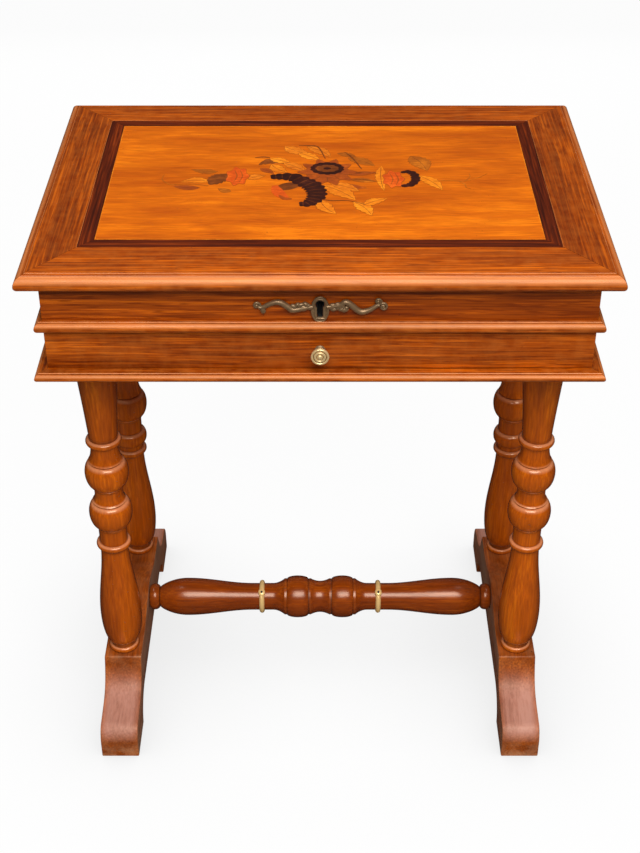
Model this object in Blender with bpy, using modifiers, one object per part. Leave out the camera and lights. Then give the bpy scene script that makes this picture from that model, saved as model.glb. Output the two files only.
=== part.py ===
import math

import bmesh
import bpy
from mathutils import Matrix, Vector

# Clearances, in metres like every size below
SEAT_GAP = 0.0003  # between pieces that are glued, screwed or let into each other
MITRE_GAP = 0.0003  # across a mitred corner
DRAWER_SIDE_GAP = 0.0008  # drawer beside the case
DRAWER_FRONT_GAP = 0.0006  # above and below the drawer front
DRAWER_BACK_GAP = 0.0100  # behind the closed drawer
BOLT_GAP = 0.0003  # round the lock bolt

# Lid
LID_WIDTH = 0.600
LID_DEPTH = 0.433
LID_THICKNESS = 0.0165
LID_OVERHANG = 0.0205
LID_FRONT_WIDTH = 0.064
LID_BACK_WIDTH = 0.0555
LID_SIDE_WIDTH = 0.055
LID_EDGE_INSET = 0.010  # moulded edge, measured in from the widest line
LID_EDGE_QUIRK = 0.0010  # small step between the flat top and the moulded edge
LID_EDGE_UNDER = 0.0055  # height of the rounded under edge
LID_EDGE_TUCK = 0.0050  # how far the under edge draws in
VENEER = 0.0010
BAND_WIDTH = 0.0155

# Case
LEG_TOP_HEIGHT = 0.559
BOTTOM_THICKNESS = 0.0098
DRAWER_TIER_HEIGHT = 0.0452
MID_MOULDING_HEIGHT = 0.0126
UPPER_TIER_HEIGHT = 0.0429
FRONT_THICKNESS = 0.018
SIDE_THICKNESS = 0.015
BACK_THICKNESS = 0.014
FLOOR_THICKNESS = 0.007
FLOOR_RAISE = 0.0035  # compartment floor above the foot of the upper tier
FLOOR_GROOVE = 0.005
MID_MOULDING_REACH = 0.0077
MID_FILLET_HEIGHT = 0.0014
MID_FILLET_REACH = 0.0036
BASE_MOULDING_REACH = 0.0126
BASE_FILLET_HEIGHT = 0.0016
BASE_FILLET_REACH = 0.0090

# Drawer
DRAWER_SIDE_THICKNESS = 0.010
DRAWER_SIDE_HEIGHT = 0.041
DRAWER_BOTTOM_THICKNESS = 0.004
DRAWER_BOTTOM_RAISE = 0.0045
DRAWER_GROOVE = 0.004
KNOB_RADIUS = 0.0094
KNOB_STAND = 0.0160
KNOB_NECK_RADIUS = 0.0045
KNOB_FOOT_RADIUS = 0.00675
KNOB_SCREW_RADIUS = 0.0019
KNOB_SCREW_HEAD_RADIUS = 0.0042
KNOB_SCREW_FACE_RADIUS = 0.00336
KNOB_SCREW_HEAD = 0.0018
KNOB_SCREW_GRIP = 0.0070  # thread inside the knob
# Face of the knob from its centre button to its underside, as shares of its radius and of its stand
KNOB_FACE = ((0, 1), (0.28, 0.98), (0.34, 0.90), (0.62, 0.93), (0.72, 0.86), (0.88, 0.90), (1, 0.80),
             (0.92, 0.66))
KNOB_NECK = (0.48, 0.20)  # top and bottom of the neck, as shares of the stand

# Hinges
HINGE_LENGTH = 0.045
HINGE_INSET = 0.0895  # middle of each hinge in from the end of the case
HINGE_LEAF = 0.0012
HINGE_LEAF_REACH = 0.0135
HINGE_KNUCKLE_RADIUS = 0.0028
HINGE_PIN_RADIUS = 0.0012
HINGE_STAND_OFF = 0.0032  # pin axis behind the case back

# Lock and escutcheon
LOCK_WIDTH = 0.056
LOCK_HEIGHT = 0.036
LOCK_DEPTH = 0.0110
BOLT_WIDTH = 0.016
BOLT_HEIGHT = 0.0125
BOLT_THICKNESS = 0.0040
SELVAGE_THICKNESS = 0.0015
SELVAGE_WIDTH = 0.064
STRIKE_WIDTH = 0.044
STRIKE_DEPTH = 0.016
STRIKE_SLOT_WIDTH = 0.020
STRIKE_SLOT_DEPTH = 0.0070
STRIKE_POCKET = 0.0055  # hollow above the strike plate
KEYHOLE_DROP = 0.0239  # key centre below the lid
KEYHOLE_RADIUS = 0.0043
KEYHOLE_SLOT_WIDTH = 0.0060
KEYHOLE_SLOT_LENGTH = 0.0140
PLATE_HALF_WIDTH = 0.0094
PLATE_HALF_HEIGHT = 0.0140
PLATE_DROP = 0.0045  # plate centre below the key centre
PLATE_THICKNESS = 0.0022
ARM_RADIUS = 0.0026
ARM_SINK = 0.55  # arm centre in front of the wood, as a share of its radius
LEAF_LENGTH = 0.0150
LEAF_HEIGHT = 0.0090
# Arm routes and curls, measured from the plate's centre
ARMS = {
    "left": [(-0.0070, 0.0020), (-0.0227, 0.0008), (-0.0282, -0.0014), (-0.0335, 0.0030), (-0.0427, 0.0088),
             (-0.0520, 0.0050), (-0.0575, 0.0015), (-0.0620, 0.0018)],
    "right": [(0.0070, 0.0020), (0.0205, 0.0040), (0.0259, 0.0085), (0.0320, 0.0036), (0.0385, -0.0028),
              (0.0440, -0.0037), (0.0510, -0.0005), (0.0566, 0.0034), (0.0600, 0.0040)],
}
CURLS = {
    "left_scroll": ((-0.0622, 0.0036), 0.0040),
    "left_tip": ((-0.0566, -0.0016), 0.0030),
    "right_tip": ((0.0576, 0.0076), 0.0032),
    "right_scroll": ((0.0618, 0.0022), 0.0040),
}
LEAVES = {"left_leaf": (-0.0160, 0.0025), "right_leaf": (0.0170, 0.0025)}

# Base
LEG_INSET_X = 0.0315  # leg axis in from the end of the case
LEG_INSET_Y = 0.1000  # leg axis in from the front or back of the case
LEG_TENON_RADIUS = 0.0090
LEG_TOP_TENON = 0.0060
LEG_FOOT_TENON = 0.0180
TOE_REACH = 0.1075  # end of the foot beyond the leg axis
FOOT_WIDTH = 0.046
TOE_HEIGHT = 0.043  # top of the rounded nose
TOE_LENGTH = 0.0845  # from the toe's front to the block
TOE_RISE = 0.009  # straight rise of the toe's top towards the block
TOE_SWEEP = 7  # how late the toe's top turns up to the block, as a power
NOSE_FACE = 0.022  # upright face below the nose
NOSE_LENGTH = 0.017
BLOCK_HEIGHT = 0.088
HUMP_HEIGHT = 0.104
HUMP_INSET = 0.0210  # start of the hump inside the leg axis
PAD_LENGTH = 0.058
ARCH_HEIGHT = 0.034
ARCH_ROUND = 0.040
STRETCHER_HEIGHT = 0.083
STRETCHER_TENON_RADIUS = 0.0090
STRETCHER_TENON = 0.0140
RING_WIDTH = 0.0080
RING_RADIUS = 0.0219
RING_SEAT_RADIUS = 0.0176
RING_PLACE = 0.0765  # from the middle of the stretcher

# Leg turnings
LEG_TOP_RADIUS = 0.0285
NECK_RADIUS = 0.0172
WAIST_RADIUS = 0.0168
SHOULDER_RADIUS = 0.0212
BALL_RADIUS = 0.0256
RING_HALF = 0.0050
LEG_RING_RADIUS = 0.0215
FILLET = 0.0025
VASE_TOP_RADIUS = 0.0163
VASE_BELLY_RADIUS = 0.0253
VASE_FOOT_RADIUS = 0.0158
VASE_BELLY_SHARE = 0.70
BASE_RING_RADIUS = 0.0188
BASE_RING_HEIGHT = 0.0075
BASE_NECK_HEIGHT = 0.0060
FLATTENED_BEAD_RADIUS = 0.0222
TRUMPET_CURVE = 1.15  # 1 is a straight taper, more is hollow
# Narrowest place of each hollow neck, as a share of its length from the top
FRONT_UPPER_WAIST = 0.2
FRONT_MIDDLE_WAIST = 0.4
FRONT_LOWER_WAIST = 0.6
REAR_UPPER_WAIST = 0.3
REAR_LOWER_WAIST = 0.5

# Heights of the leg turnings above the floor
FRONT_RING_HEIGHT = 0.4080
FRONT_UPPER_BALL_HEIGHT = 0.3630
FRONT_LOWER_BALL_HEIGHT = 0.3045
REAR_RING_HEIGHT = 0.3860
REAR_BALL_HEIGHT = 0.3280
REAR_BEAD_HEIGHT = 0.2780
REAR_BEAD_HALF = 0.0095
BALL_HALF = 0.0190
VASE_RING_HEIGHT = 0.2570

# Stretcher turnings, measured from its middle
STRETCHER_MIDDLE_RADIUS = 0.0205
STRETCHER_FILLET_RADIUS = 0.0239
STRETCHER_FILLET = 0.0030
STRETCHER_MIDDLE_HALF = 0.0125
STRETCHER_BEAD_RADIUS = 0.0276
STRETCHER_BEAD_HALF = 0.0140
STRETCHER_COVE_END = 0.0640
STRETCHER_VASE_START = 0.0880
STRETCHER_VASE_RADIUS = 0.0245
STRETCHER_VASE_SHARE = 0.70
STRETCHER_NECK_RADIUS = 0.0128
STRETCHER_COVE_WAIST = 0.9
COLLAR_RADIUS = 0.0172
COLLAR_WIDTH = 0.0130

TURNING_STEPS = 14

half_width = LID_WIDTH / 2
half_depth = LID_DEPTH / 2
case_half_width = half_width - LID_OVERHANG
case_half_depth = half_depth - LID_OVERHANG
drawer_level = LEG_TOP_HEIGHT + BOTTOM_THICKNESS
mid_level = drawer_level + DRAWER_TIER_HEIGHT
mid_top = mid_level + MID_MOULDING_HEIGHT
lid_level = mid_top + UPPER_TIER_HEIGHT
lid_top = lid_level + LID_THICKNESS
case_top = lid_level - SEAT_GAP
front_inner = -case_half_depth + FRONT_THICKNESS
back_inner = case_half_depth - BACK_THICKNESS
side_inner = case_half_width - SIDE_THICKNESS
leg_x = case_half_width - LEG_INSET_X
leg_y = case_half_depth - LEG_INSET_Y

for old in list(bpy.data.objects):
    bpy.data.objects.remove(old, do_unlink=True)

table = bpy.data.collections.new("work_table")
cutters = bpy.data.collections.new("cutters")
bpy.context.scene.collection.children.link(table)
bpy.context.scene.collection.children.link(cutters)


def finish(name, colour, roughness, metallic=0.0):
    material = bpy.data.materials.new(name)
    material.use_nodes = True
    shader = material.node_tree.nodes["Principled BSDF"]
    shader.inputs["Base Color"].default_value = (*colour, 1.0)
    shader.inputs["Roughness"].default_value = roughness
    shader.inputs["Metallic"].default_value = metallic
    return material


frame_wood = finish("frame_wood", (0.42, 0.13, 0.025), 0.35)
band_wood = finish("band_wood", (0.055, 0.015, 0.012), 0.35)
field_wood = finish("field_wood", (0.68, 0.24, 0.03), 0.30)
case_wood = finish("case_wood", (0.36, 0.10, 0.018), 0.35)
leg_wood = finish("leg_wood", (0.33, 0.09, 0.015), 0.30)
foot_wood = finish("foot_wood", (0.22, 0.06, 0.02), 0.40)
lining_wood = finish("lining_wood", (0.50, 0.30, 0.14), 0.60)
bronze = finish("bronze", (0.20, 0.14, 0.07), 0.45, 0.9)
brass = finish("brass", (0.55, 0.36, 0.12), 0.35, 1.0)
iron = finish("iron", (0.20, 0.19, 0.18), 0.50, 1.0)


def add(name, mesh, material):
    obj = bpy.data.objects.new(name, mesh)
    if material:
        mesh.materials.append(material)
        table.objects.link(obj)
    else:
        cutters.objects.link(obj)
        obj.hide_render = True
        obj.display_type = "WIRE"
    return obj


def block(name, low, high, material=None):
    low = Vector(low)
    high = Vector(high)
    shape = bmesh.new()
    bmesh.ops.create_cube(shape, size=1.0)
    bmesh.ops.scale(shape, vec=high - low, verts=shape.verts)
    mesh = bpy.data.meshes.new(name)
    shape.to_mesh(mesh)
    shape.free()
    obj = add(name, mesh, material)
    obj.location = (low + high) / 2
    return obj


def rod(name, radius, length, location, turn=(0, 0, 0), material=None, sides=16):
    shape = bmesh.new()
    bmesh.ops.create_cone(
        shape, cap_ends=True, segments=sides, radius1=radius, radius2=radius, depth=length
    )
    mesh = bpy.data.meshes.new(name)
    shape.to_mesh(mesh)
    shape.free()
    obj = add(name, mesh, material)
    obj.location = location
    obj.rotation_euler = turn
    return obj


def solid_of_curve(name, curve):
    """Mesh of a filled or bevelled curve, with its loose caps welded to its sides."""
    guide = bpy.data.objects.new(name, curve)
    bpy.context.scene.collection.objects.link(guide)
    bpy.context.view_layer.update()
    graph = bpy.context.evaluated_depsgraph_get()
    mesh = bpy.data.meshes.new_from_object(guide.evaluated_get(graph))
    bpy.data.objects.remove(guide, do_unlink=True)
    shape = bmesh.new()
    shape.from_mesh(mesh)
    bmesh.ops.remove_doubles(shape, verts=shape.verts, dist=1e-6)
    bmesh.ops.recalc_face_normals(shape, faces=shape.faces)
    shape.to_mesh(mesh)
    shape.free()
    return mesh


def extrusion(name, outlines, thickness, material=None):
    """Flat outlines, the first the rim and the rest its holes, drawn out evenly to both sides."""
    curve = bpy.data.curves.new(name, "CURVE")
    curve.dimensions = "2D"
    curve.fill_mode = "BOTH"
    curve.extrude = thickness / 2
    for outline in outlines:
        spline = curve.splines.new("POLY")
        spline.points.add(len(outline) - 1)
        for point, (x, y) in zip(spline.points, outline):
            point.co = (x, y, 0, 1)
        spline.use_cyclic_u = True
    return add(name, solid_of_curve(name, curve), material)


def turning(name, profile, material, steps=TURNING_STEPS):
    """Profile of (radius, height) from top to bottom, turned round Z."""
    shape = bmesh.new()
    line = [shape.verts.new((radius, 0, height)) for radius, height in profile]
    for upper, lower in zip(line, line[1:]):
        shape.edges.new((upper, lower))
    mesh = bpy.data.meshes.new(name)
    shape.to_mesh(mesh)
    shape.free()
    obj = add(name, mesh, material)
    screw = obj.modifiers.new("turning", "SCREW")
    screw.axis = "Z"
    screw.steps = steps
    screw.render_steps = steps
    screw.use_merge_vertices = True
    screw.merge_threshold = 1e-5
    screw.use_smooth_shade = True
    return obj


def cut(target, cutter, solver="EXACT"):
    modifier = target.modifiers.new("cut", "BOOLEAN")
    modifier.operation = "DIFFERENCE"
    modifier.solver = solver
    modifier.object = cutter


def join(target, other, solver="EXACT"):
    modifier = target.modifiers.new("join", "BOOLEAN")
    modifier.operation = "UNION"
    modifier.solver = solver
    modifier.object = other


def joint_empty(name, location):
    empty = bpy.data.objects.new(name, None)
    empty.location = location
    empty.empty_display_size = 0.02
    table.objects.link(empty)
    return empty


def carry(empty, pieces):
    for piece in pieces:
        piece.parent = empty
        piece.matrix_parent_inverse = Matrix.Translation(empty.location).inverted()


def arc(centre, radii, start, end, steps):
    """Points on an ellipse from the start angle to the end angle, in degrees."""
    points = []
    for step in range(steps + 1):
        angle = math.radians(start + (end - start) * step / steps)
        points.append((centre[0] + radii[0] * math.cos(angle), centre[1] + radii[1] * math.sin(angle)))
    return points


# Sides of the table: each one's turn round Z, and what the turned outward axis stands for
SIDES = {"right": 0.0, "back": math.pi / 2, "left": math.pi, "front": -math.pi / 2}


def side_strip(name, section, run, mitres, side, distance, height, material):
    """Section of (outward, up) drawn along one side of the table, each end cut to its own mitre."""
    obj = extrusion(name, [section], run, material)
    for vert in obj.data.vertices:
        far_end = vert.co.z > 0
        reach = mitres[far_end](vert.co.x) - MITRE_GAP / 2
        vert.co.z += reach if far_end else -reach
    turn = SIDES[side]
    obj.rotation_euler = (math.pi / 2, 0, turn)
    obj.location = (distance * math.cos(turn), distance * math.sin(turn), height)
    return obj


def square_mitre(outward):
    """A strip grows at each end by as much as it stands out."""
    return outward


# Lid frame: a flat member with a quirked ovolo edge, drawn from its inner edge to the widest line
def lid_section(width):
    widest = LID_EDGE_UNDER
    top = LID_THICKNESS
    rise = top - LID_EDGE_QUIRK - widest
    section = [(-width, 0), (-width, top), (-LID_EDGE_INSET, top)]
    ovolo = arc((-LID_EDGE_INSET, widest), (LID_EDGE_INSET, rise), 90, 0, 6)
    under = arc((-LID_EDGE_TUCK, widest), (LID_EDGE_TUCK, LID_EDGE_UNDER), 0, -90, 4)
    return section + ovolo + under[1:]


def lid_mitre(own_width, next_width):
    """Run of a member's end at each inset: 45 degrees on the moulded edge, then straight to the band."""

    def shift(outward):
        inset = -outward
        if inset <= LID_EDGE_INSET:
            return -inset
        share = (inset - LID_EDGE_INSET) / (own_width - LID_EDGE_INSET)
        return -LID_EDGE_INSET - share * (next_width - LID_EDGE_INSET)

    return shift


# Members in order round the lid, each with its width, length and place
LID_MEMBERS = {
    "front": (LID_FRONT_WIDTH, LID_WIDTH, half_depth),
    "right": (LID_SIDE_WIDTH, LID_DEPTH, half_width),
    "back": (LID_BACK_WIDTH, LID_WIDTH, half_depth),
    "left": (LID_SIDE_WIDTH, LID_DEPTH, half_width),
}
lid_order = list(LID_MEMBERS)
lid_frame = {}
for index, side in enumerate(lid_order):
    width, run, distance = LID_MEMBERS[side]
    # A strip's far end points back along the order of the sides
    following = LID_MEMBERS[lid_order[(index + 1) % 4]][0]
    preceding = LID_MEMBERS[lid_order[index - 1]][0]
    lid_frame[side] = side_strip(
        "lid_frame_" + side,
        lid_section(width),
        run,
        (lid_mitre(width, following), lid_mitre(width, preceding)),
        side,
        distance,
        lid_level,
        frame_wood,
    )
lid_pieces = list(lid_frame.values())

panel_x = half_width - LID_SIDE_WIDTH - SEAT_GAP
panel_front = -half_depth + LID_FRONT_WIDTH + SEAT_GAP
panel_back = half_depth - LID_BACK_WIDTH - SEAT_GAP
veneer_base = lid_top - VENEER
lid_pieces.append(
    block(
        "lid_panel",
        (-panel_x, panel_front, lid_level),
        (panel_x, panel_back, veneer_base - SEAT_GAP),
        lining_wood,
    )
)
lid_pieces.append(
    block(
        "lid_field",
        (-panel_x + BAND_WIDTH + SEAT_GAP, panel_front + BAND_WIDTH + SEAT_GAP, veneer_base),
        (panel_x - BAND_WIDTH - SEAT_GAP, panel_back - BAND_WIDTH - SEAT_GAP, lid_top),
        field_wood,
    )
)
panel_middle = (panel_front + panel_back) / 2
panel_y = (panel_back - panel_front) / 2
band_section = [(-BAND_WIDTH, 0), (-BAND_WIDTH, VENEER), (0, VENEER), (0, 0)]
for side in SIDES:
    along_x = side in ("front", "back")
    strip = side_strip(
        "lid_band_" + side,
        band_section,
        2 * (panel_x if along_x else panel_y),
        (square_mitre, square_mitre),
        side,
        panel_y if along_x else panel_x,
        veneer_base,
        band_wood,
    )
    strip.location.y += panel_middle
    lid_pieces.append(strip)


# Case: front and back run the full width, the sides stand between them, the floor lies in the sides' grooves
case_front = block(
    "case_front",
    (-case_half_width, -case_half_depth, mid_level),
    (case_half_width, front_inner, case_top),
    case_wood,
)
case_back = block(
    "case_back",
    (-case_half_width, back_inner, drawer_level + SEAT_GAP),
    (case_half_width, case_half_depth, case_top),
    case_wood,
)
floor_base = mid_level + FLOOR_RAISE
floor_top = floor_base + FLOOR_THICKNESS
floor_reach = side_inner + FLOOR_GROOVE
floor_cutter = block(
    "floor_groove",
    (-floor_reach, -half_depth, floor_base - SEAT_GAP),
    (floor_reach, half_depth, floor_top + SEAT_GAP),
)
for name, sign in (("case_left", -1), ("case_right", 1)):
    faces = sorted((sign * side_inner, sign * case_half_width))
    wall = block(
        name,
        (faces[0], front_inner + SEAT_GAP, drawer_level + SEAT_GAP),
        (faces[1], back_inner - SEAT_GAP, case_top),
        case_wood,
    )
    cut(wall, floor_cutter)
block(
    "compartment_floor",
    (-floor_reach + SEAT_GAP, front_inner + SEAT_GAP, floor_base),
    (floor_reach - SEAT_GAP, back_inner - SEAT_GAP, floor_top),
    lining_wood,
)
case_bottom = block(
    "case_bottom",
    (-case_half_width, -case_half_depth, LEG_TOP_HEIGHT),
    (case_half_width, case_half_depth, drawer_level),
    case_wood,
)


# Mouldings: a fillet over a bead, mitred round the foot of the upper tier and round the bottom board
def bead_section(height, reach, fillet_height, fillet_reach):
    bead_half = (height - fillet_height) / 2
    flat = reach - bead_half
    bead = arc((flat, bead_half), (bead_half, bead_half), 90, -90, 8)
    fillet = [(0, 0), (0, height), (fillet_reach, height), (fillet_reach, height - fillet_height)]
    if fillet_reach < flat:
        return fillet + bead
    return fillet + [(flat, height - fillet_height)] + bead[1:]


MOULDINGS = {
    "mid_moulding": (
        mid_level,
        bead_section(MID_MOULDING_HEIGHT, MID_MOULDING_REACH, MID_FILLET_HEIGHT, MID_FILLET_REACH),
    ),
    "base_moulding": (
        LEG_TOP_HEIGHT,
        bead_section(BOTTOM_THICKNESS, BASE_MOULDING_REACH, BASE_FILLET_HEIGHT, BASE_FILLET_REACH),
    ),
}
for moulding, (level, section) in MOULDINGS.items():
    for side in SIDES:
        along_x = side in ("front", "back")
        side_strip(
            moulding + "_" + side,
            section,
            2 * ((case_half_width if along_x else case_half_depth) + SEAT_GAP),
            (square_mitre, square_mitre),
            side,
            (case_half_depth if along_x else case_half_width) + SEAT_GAP,
            level,
            case_wood,
        )


# Drawer: the front covers the ends of the case sides, the bottom lies in grooves and passes under the back
drawer_x = side_inner - DRAWER_SIDE_GAP
drawer_inner_x = drawer_x - DRAWER_SIDE_THICKNESS
drawer_base = drawer_level + SEAT_GAP
drawer_rim = drawer_base + DRAWER_SIDE_HEIGHT
drawer_end = back_inner - DRAWER_BACK_GAP
drawer_back_inner = drawer_end - DRAWER_SIDE_THICKNESS
drawer_front = block(
    "drawer_front",
    (-case_half_width, -case_half_depth, drawer_level + DRAWER_FRONT_GAP),
    (case_half_width, front_inner, mid_level - DRAWER_FRONT_GAP),
    case_wood,
)
tray_base = drawer_base + DRAWER_BOTTOM_RAISE
tray_top = tray_base + DRAWER_BOTTOM_THICKNESS
tray_x = drawer_inner_x + DRAWER_GROOVE
tray_front = front_inner - DRAWER_GROOVE
tray_cutter = block(
    "drawer_groove",
    (-tray_x, tray_front, tray_base - SEAT_GAP),
    (tray_x, half_depth, tray_top + SEAT_GAP),
)
cut(drawer_front, tray_cutter)
drawer_pieces = [drawer_front]
for name, sign in (("drawer_left", -1), ("drawer_right", 1)):
    faces = sorted((sign * drawer_inner_x, sign * drawer_x))
    wall = block(
        name,
        (faces[0], front_inner + SEAT_GAP, drawer_base),
        (faces[1], drawer_end, drawer_rim),
        lining_wood,
    )
    cut(wall, tray_cutter)
    drawer_pieces.append(wall)
drawer_pieces.append(
    block(
        "drawer_back",
        (-drawer_inner_x + SEAT_GAP, drawer_back_inner, tray_top + SEAT_GAP),
        (drawer_inner_x - SEAT_GAP, drawer_end, drawer_rim),
        lining_wood,
    )
)
drawer_pieces.append(
    block(
        "drawer_bottom",
        (-tray_x + SEAT_GAP, tray_front + SEAT_GAP, tray_base),
        (tray_x - SEAT_GAP, drawer_end, tray_top),
        lining_wood,
    )
)

# Knob: a dished disc with a centre button on a waisted neck, held by a screw through the drawer front
knob_height = (drawer_level + mid_level) / 2
front_turn = (math.pi / 2, 0, 0)
face_y = -case_half_depth - SEAT_GAP
knob_profile = [(KNOB_RADIUS * across, KNOB_STAND * out) for across, out in KNOB_FACE]
knob_profile += [(KNOB_NECK_RADIUS, KNOB_STAND * out) for out in KNOB_NECK]
knob_profile += [
    (KNOB_FOOT_RADIUS, 0),
    (KNOB_SCREW_RADIUS + SEAT_GAP, 0),
    (KNOB_SCREW_RADIUS + SEAT_GAP, KNOB_SCREW_GRIP + SEAT_GAP),
    (0, KNOB_SCREW_GRIP + SEAT_GAP),
]
knob = turning("knob", knob_profile, brass)
knob.rotation_euler = front_turn
knob.location = (0, face_y, knob_height)
screw_length = FRONT_THICKNESS + 2 * SEAT_GAP + KNOB_SCREW_GRIP
screw_profile = [
    (0, screw_length),
    (KNOB_SCREW_RADIUS, screw_length),
    (KNOB_SCREW_RADIUS, 0),
    (KNOB_SCREW_HEAD_RADIUS, 0),
    (KNOB_SCREW_FACE_RADIUS, -KNOB_SCREW_HEAD),
    (0, -KNOB_SCREW_HEAD),
]
knob_screw = turning("knob_screw", screw_profile, iron)
knob_screw.rotation_euler = front_turn
knob_screw.location = (0, front_inner + SEAT_GAP, knob_height)
knob_hole = rod(
    "knob_hole",
    KNOB_SCREW_RADIUS + SEAT_GAP,
    3 * FRONT_THICKNESS,
    (0, -case_half_depth, knob_height),
    front_turn,
)
cut(drawer_front, knob_hole)
drawer_pieces += [knob, knob_screw]


# Hinges: each pair of leaves is let into the case back and the lid, with the pin behind the case
hinge_axis = Vector((0, case_half_depth + HINGE_STAND_OFF, lid_level - SEAT_GAP / 2))
knuckle_bore = HINGE_PIN_RADIUS + SEAT_GAP
third = HINGE_LENGTH / 3


def leaf_outline(upward):
    """Leaf and knuckle in one outline, the pin at the origin and the leaf running towards the case."""
    near = SEAT_GAP / 2
    far = near + HINGE_LEAF
    start = 180 + math.degrees(math.asin(near / HINGE_KNUCKLE_RADIUS))
    end = -180 + math.degrees(math.asin(far / HINGE_KNUCKLE_RADIUS))
    radii = (HINGE_KNUCKLE_RADIUS, HINGE_KNUCKLE_RADIUS)
    outline = [(-HINGE_LEAF_REACH, -far), (-HINGE_LEAF_REACH, -near)]
    outline += arc((0, 0), radii, start, end, 14)
    if upward:
        outline = [(x, -y) for x, y in reversed(outline)]
    return outline


bore_outline = arc((0, 0), (knuckle_bore, knuckle_bore), 0, 337.5, 15)
along_hinge = (math.pi / 2, 0, math.pi / 2)
for name, sign in (("left", -1), ("right", 1)):
    middle = hinge_axis + Vector((sign * (case_half_width - HINGE_INSET), 0, 0))
    leaf_end = middle.y - HINGE_LEAF_REACH
    knuckle_front = middle.y - HINGE_KNUCKLE_RADIUS - SEAT_GAP
    outlines = [leaf_outline(False), bore_outline]
    case_leaf = extrusion("hinge_" + name + "_case_leaf", outlines, HINGE_LENGTH, brass)
    outlines = [leaf_outline(True), bore_outline]
    lid_leaf = extrusion("hinge_" + name + "_lid_leaf", outlines, HINGE_LENGTH, brass)
    for leaf in (case_leaf, lid_leaf):
        leaf.rotation_euler = along_hinge
        leaf.location = middle
    knuckle_low = middle.z - 2 * HINGE_KNUCKLE_RADIUS
    knuckle_high = middle.z + 2 * HINGE_KNUCKLE_RADIUS
    knuckle_back = middle.y + 2 * HINGE_KNUCKLE_RADIUS
    middle_cutter = block(
        "hinge_" + name + "_middle_gap",
        (middle.x - third / 2 - SEAT_GAP / 2, knuckle_front, knuckle_low),
        (middle.x + third / 2 + SEAT_GAP / 2, knuckle_back, knuckle_high),
    )
    cut(case_leaf, middle_cutter)
    for end in (-1, 1):
        ends = sorted((middle.x + end * (third / 2 - SEAT_GAP / 2), middle.x + end * HINGE_LENGTH))
        end_cutter = block(
            "hinge_" + name + ("_left_gap" if end < 0 else "_right_gap"),
            (ends[0], knuckle_front, knuckle_low),
            (ends[1], knuckle_back, knuckle_high),
        )
        cut(lid_leaf, end_cutter)
    rod("hinge_" + name + "_pin", HINGE_PIN_RADIUS, HINGE_LENGTH, middle, along_hinge, brass)
    mortise_half = HINGE_LENGTH / 2 + SEAT_GAP
    case_mortise = block(
        "hinge_" + name + "_case_mortise",
        (middle.x - mortise_half, leaf_end - SEAT_GAP, case_top - HINGE_LEAF - SEAT_GAP),
        (middle.x + mortise_half, middle.y, case_top + HINGE_LEAF),
    )
    cut(case_back, case_mortise)
    lid_mortise = block(
        "hinge_" + name + "_lid_mortise",
        (middle.x - mortise_half, leaf_end - SEAT_GAP, lid_level - HINGE_LEAF),
        (middle.x + mortise_half, middle.y, lid_level + HINGE_LEAF + SEAT_GAP),
    )
    knuckle_relief = rod(
        "hinge_" + name + "_knuckle_relief",
        HINGE_KNUCKLE_RADIUS + 2 * SEAT_GAP,
        2 * mortise_half,
        middle,
        along_hinge,
    )
    cut(lid_frame["back"], lid_mortise)
    cut(lid_frame["back"], knuckle_relief)
    lid_pieces.append(lid_leaf)


# Lock: a box let into the back of the case front, its bolt rising through the selvage into the strike plate
key_height = lid_level - KEYHOLE_DROP
lock_back = front_inner - SEAT_GAP
lock_front = lock_back - LOCK_DEPTH
lock_middle = (lock_back + lock_front) / 2
selvage_base = case_top - SELVAGE_THICKNESS
lock_top = selvage_base - SEAT_GAP
bolt_half = BOLT_WIDTH / 2
bolt_y = BOLT_THICKNESS / 2
bolt_base = case_top - BOLT_HEIGHT
lock_case = block(
    "lock_case",
    (-LOCK_WIDTH / 2, lock_front, lock_top - LOCK_HEIGHT),
    (LOCK_WIDTH / 2, lock_back, lock_top),
    iron,
)
lock_mortise = block(
    "lock_mortise",
    (-LOCK_WIDTH / 2 - SEAT_GAP, lock_front - SEAT_GAP, lock_top - LOCK_HEIGHT - SEAT_GAP),
    (LOCK_WIDTH / 2 + SEAT_GAP, 0, lid_top),
)
cut(case_front, lock_mortise)
lock_selvage = block(
    "lock_selvage",
    (-SELVAGE_WIDTH / 2, lock_front, selvage_base),
    (SELVAGE_WIDTH / 2, lock_back, case_top),
    brass,
)
selvage_mortise = block(
    "selvage_mortise",
    (-SELVAGE_WIDTH / 2 - SEAT_GAP, lock_front - SEAT_GAP, selvage_base - SEAT_GAP),
    (SELVAGE_WIDTH / 2 + SEAT_GAP, 0, lid_top),
)
cut(case_front, selvage_mortise)
bolt_slot = block(
    "bolt_slot",
    (-bolt_half - BOLT_GAP, lock_middle - bolt_y - BOLT_GAP, bolt_base - BOLT_GAP),
    (bolt_half + BOLT_GAP, lock_middle + bolt_y + BOLT_GAP, lid_top),
)
cut(lock_case, bolt_slot)
cut(lock_selvage, bolt_slot)
lock_bolt = block(
    "lock_bolt",
    (-bolt_half, lock_middle - bolt_y, bolt_base),
    (bolt_half, lock_middle + bolt_y, case_top),
    brass,
)
strike_top = lid_level + SELVAGE_THICKNESS
strike_plate = block(
    "lid_strike_plate",
    (-STRIKE_WIDTH / 2, lock_middle - STRIKE_DEPTH / 2, lid_level),
    (STRIKE_WIDTH / 2, lock_middle + STRIKE_DEPTH / 2, strike_top),
    brass,
)
strike_recess = block(
    "strike_recess",
    (-STRIKE_WIDTH / 2 - SEAT_GAP, lock_middle - STRIKE_DEPTH / 2 - SEAT_GAP, 0),
    (STRIKE_WIDTH / 2 + SEAT_GAP, lock_middle + STRIKE_DEPTH / 2 + SEAT_GAP, strike_top + SEAT_GAP),
)
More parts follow.
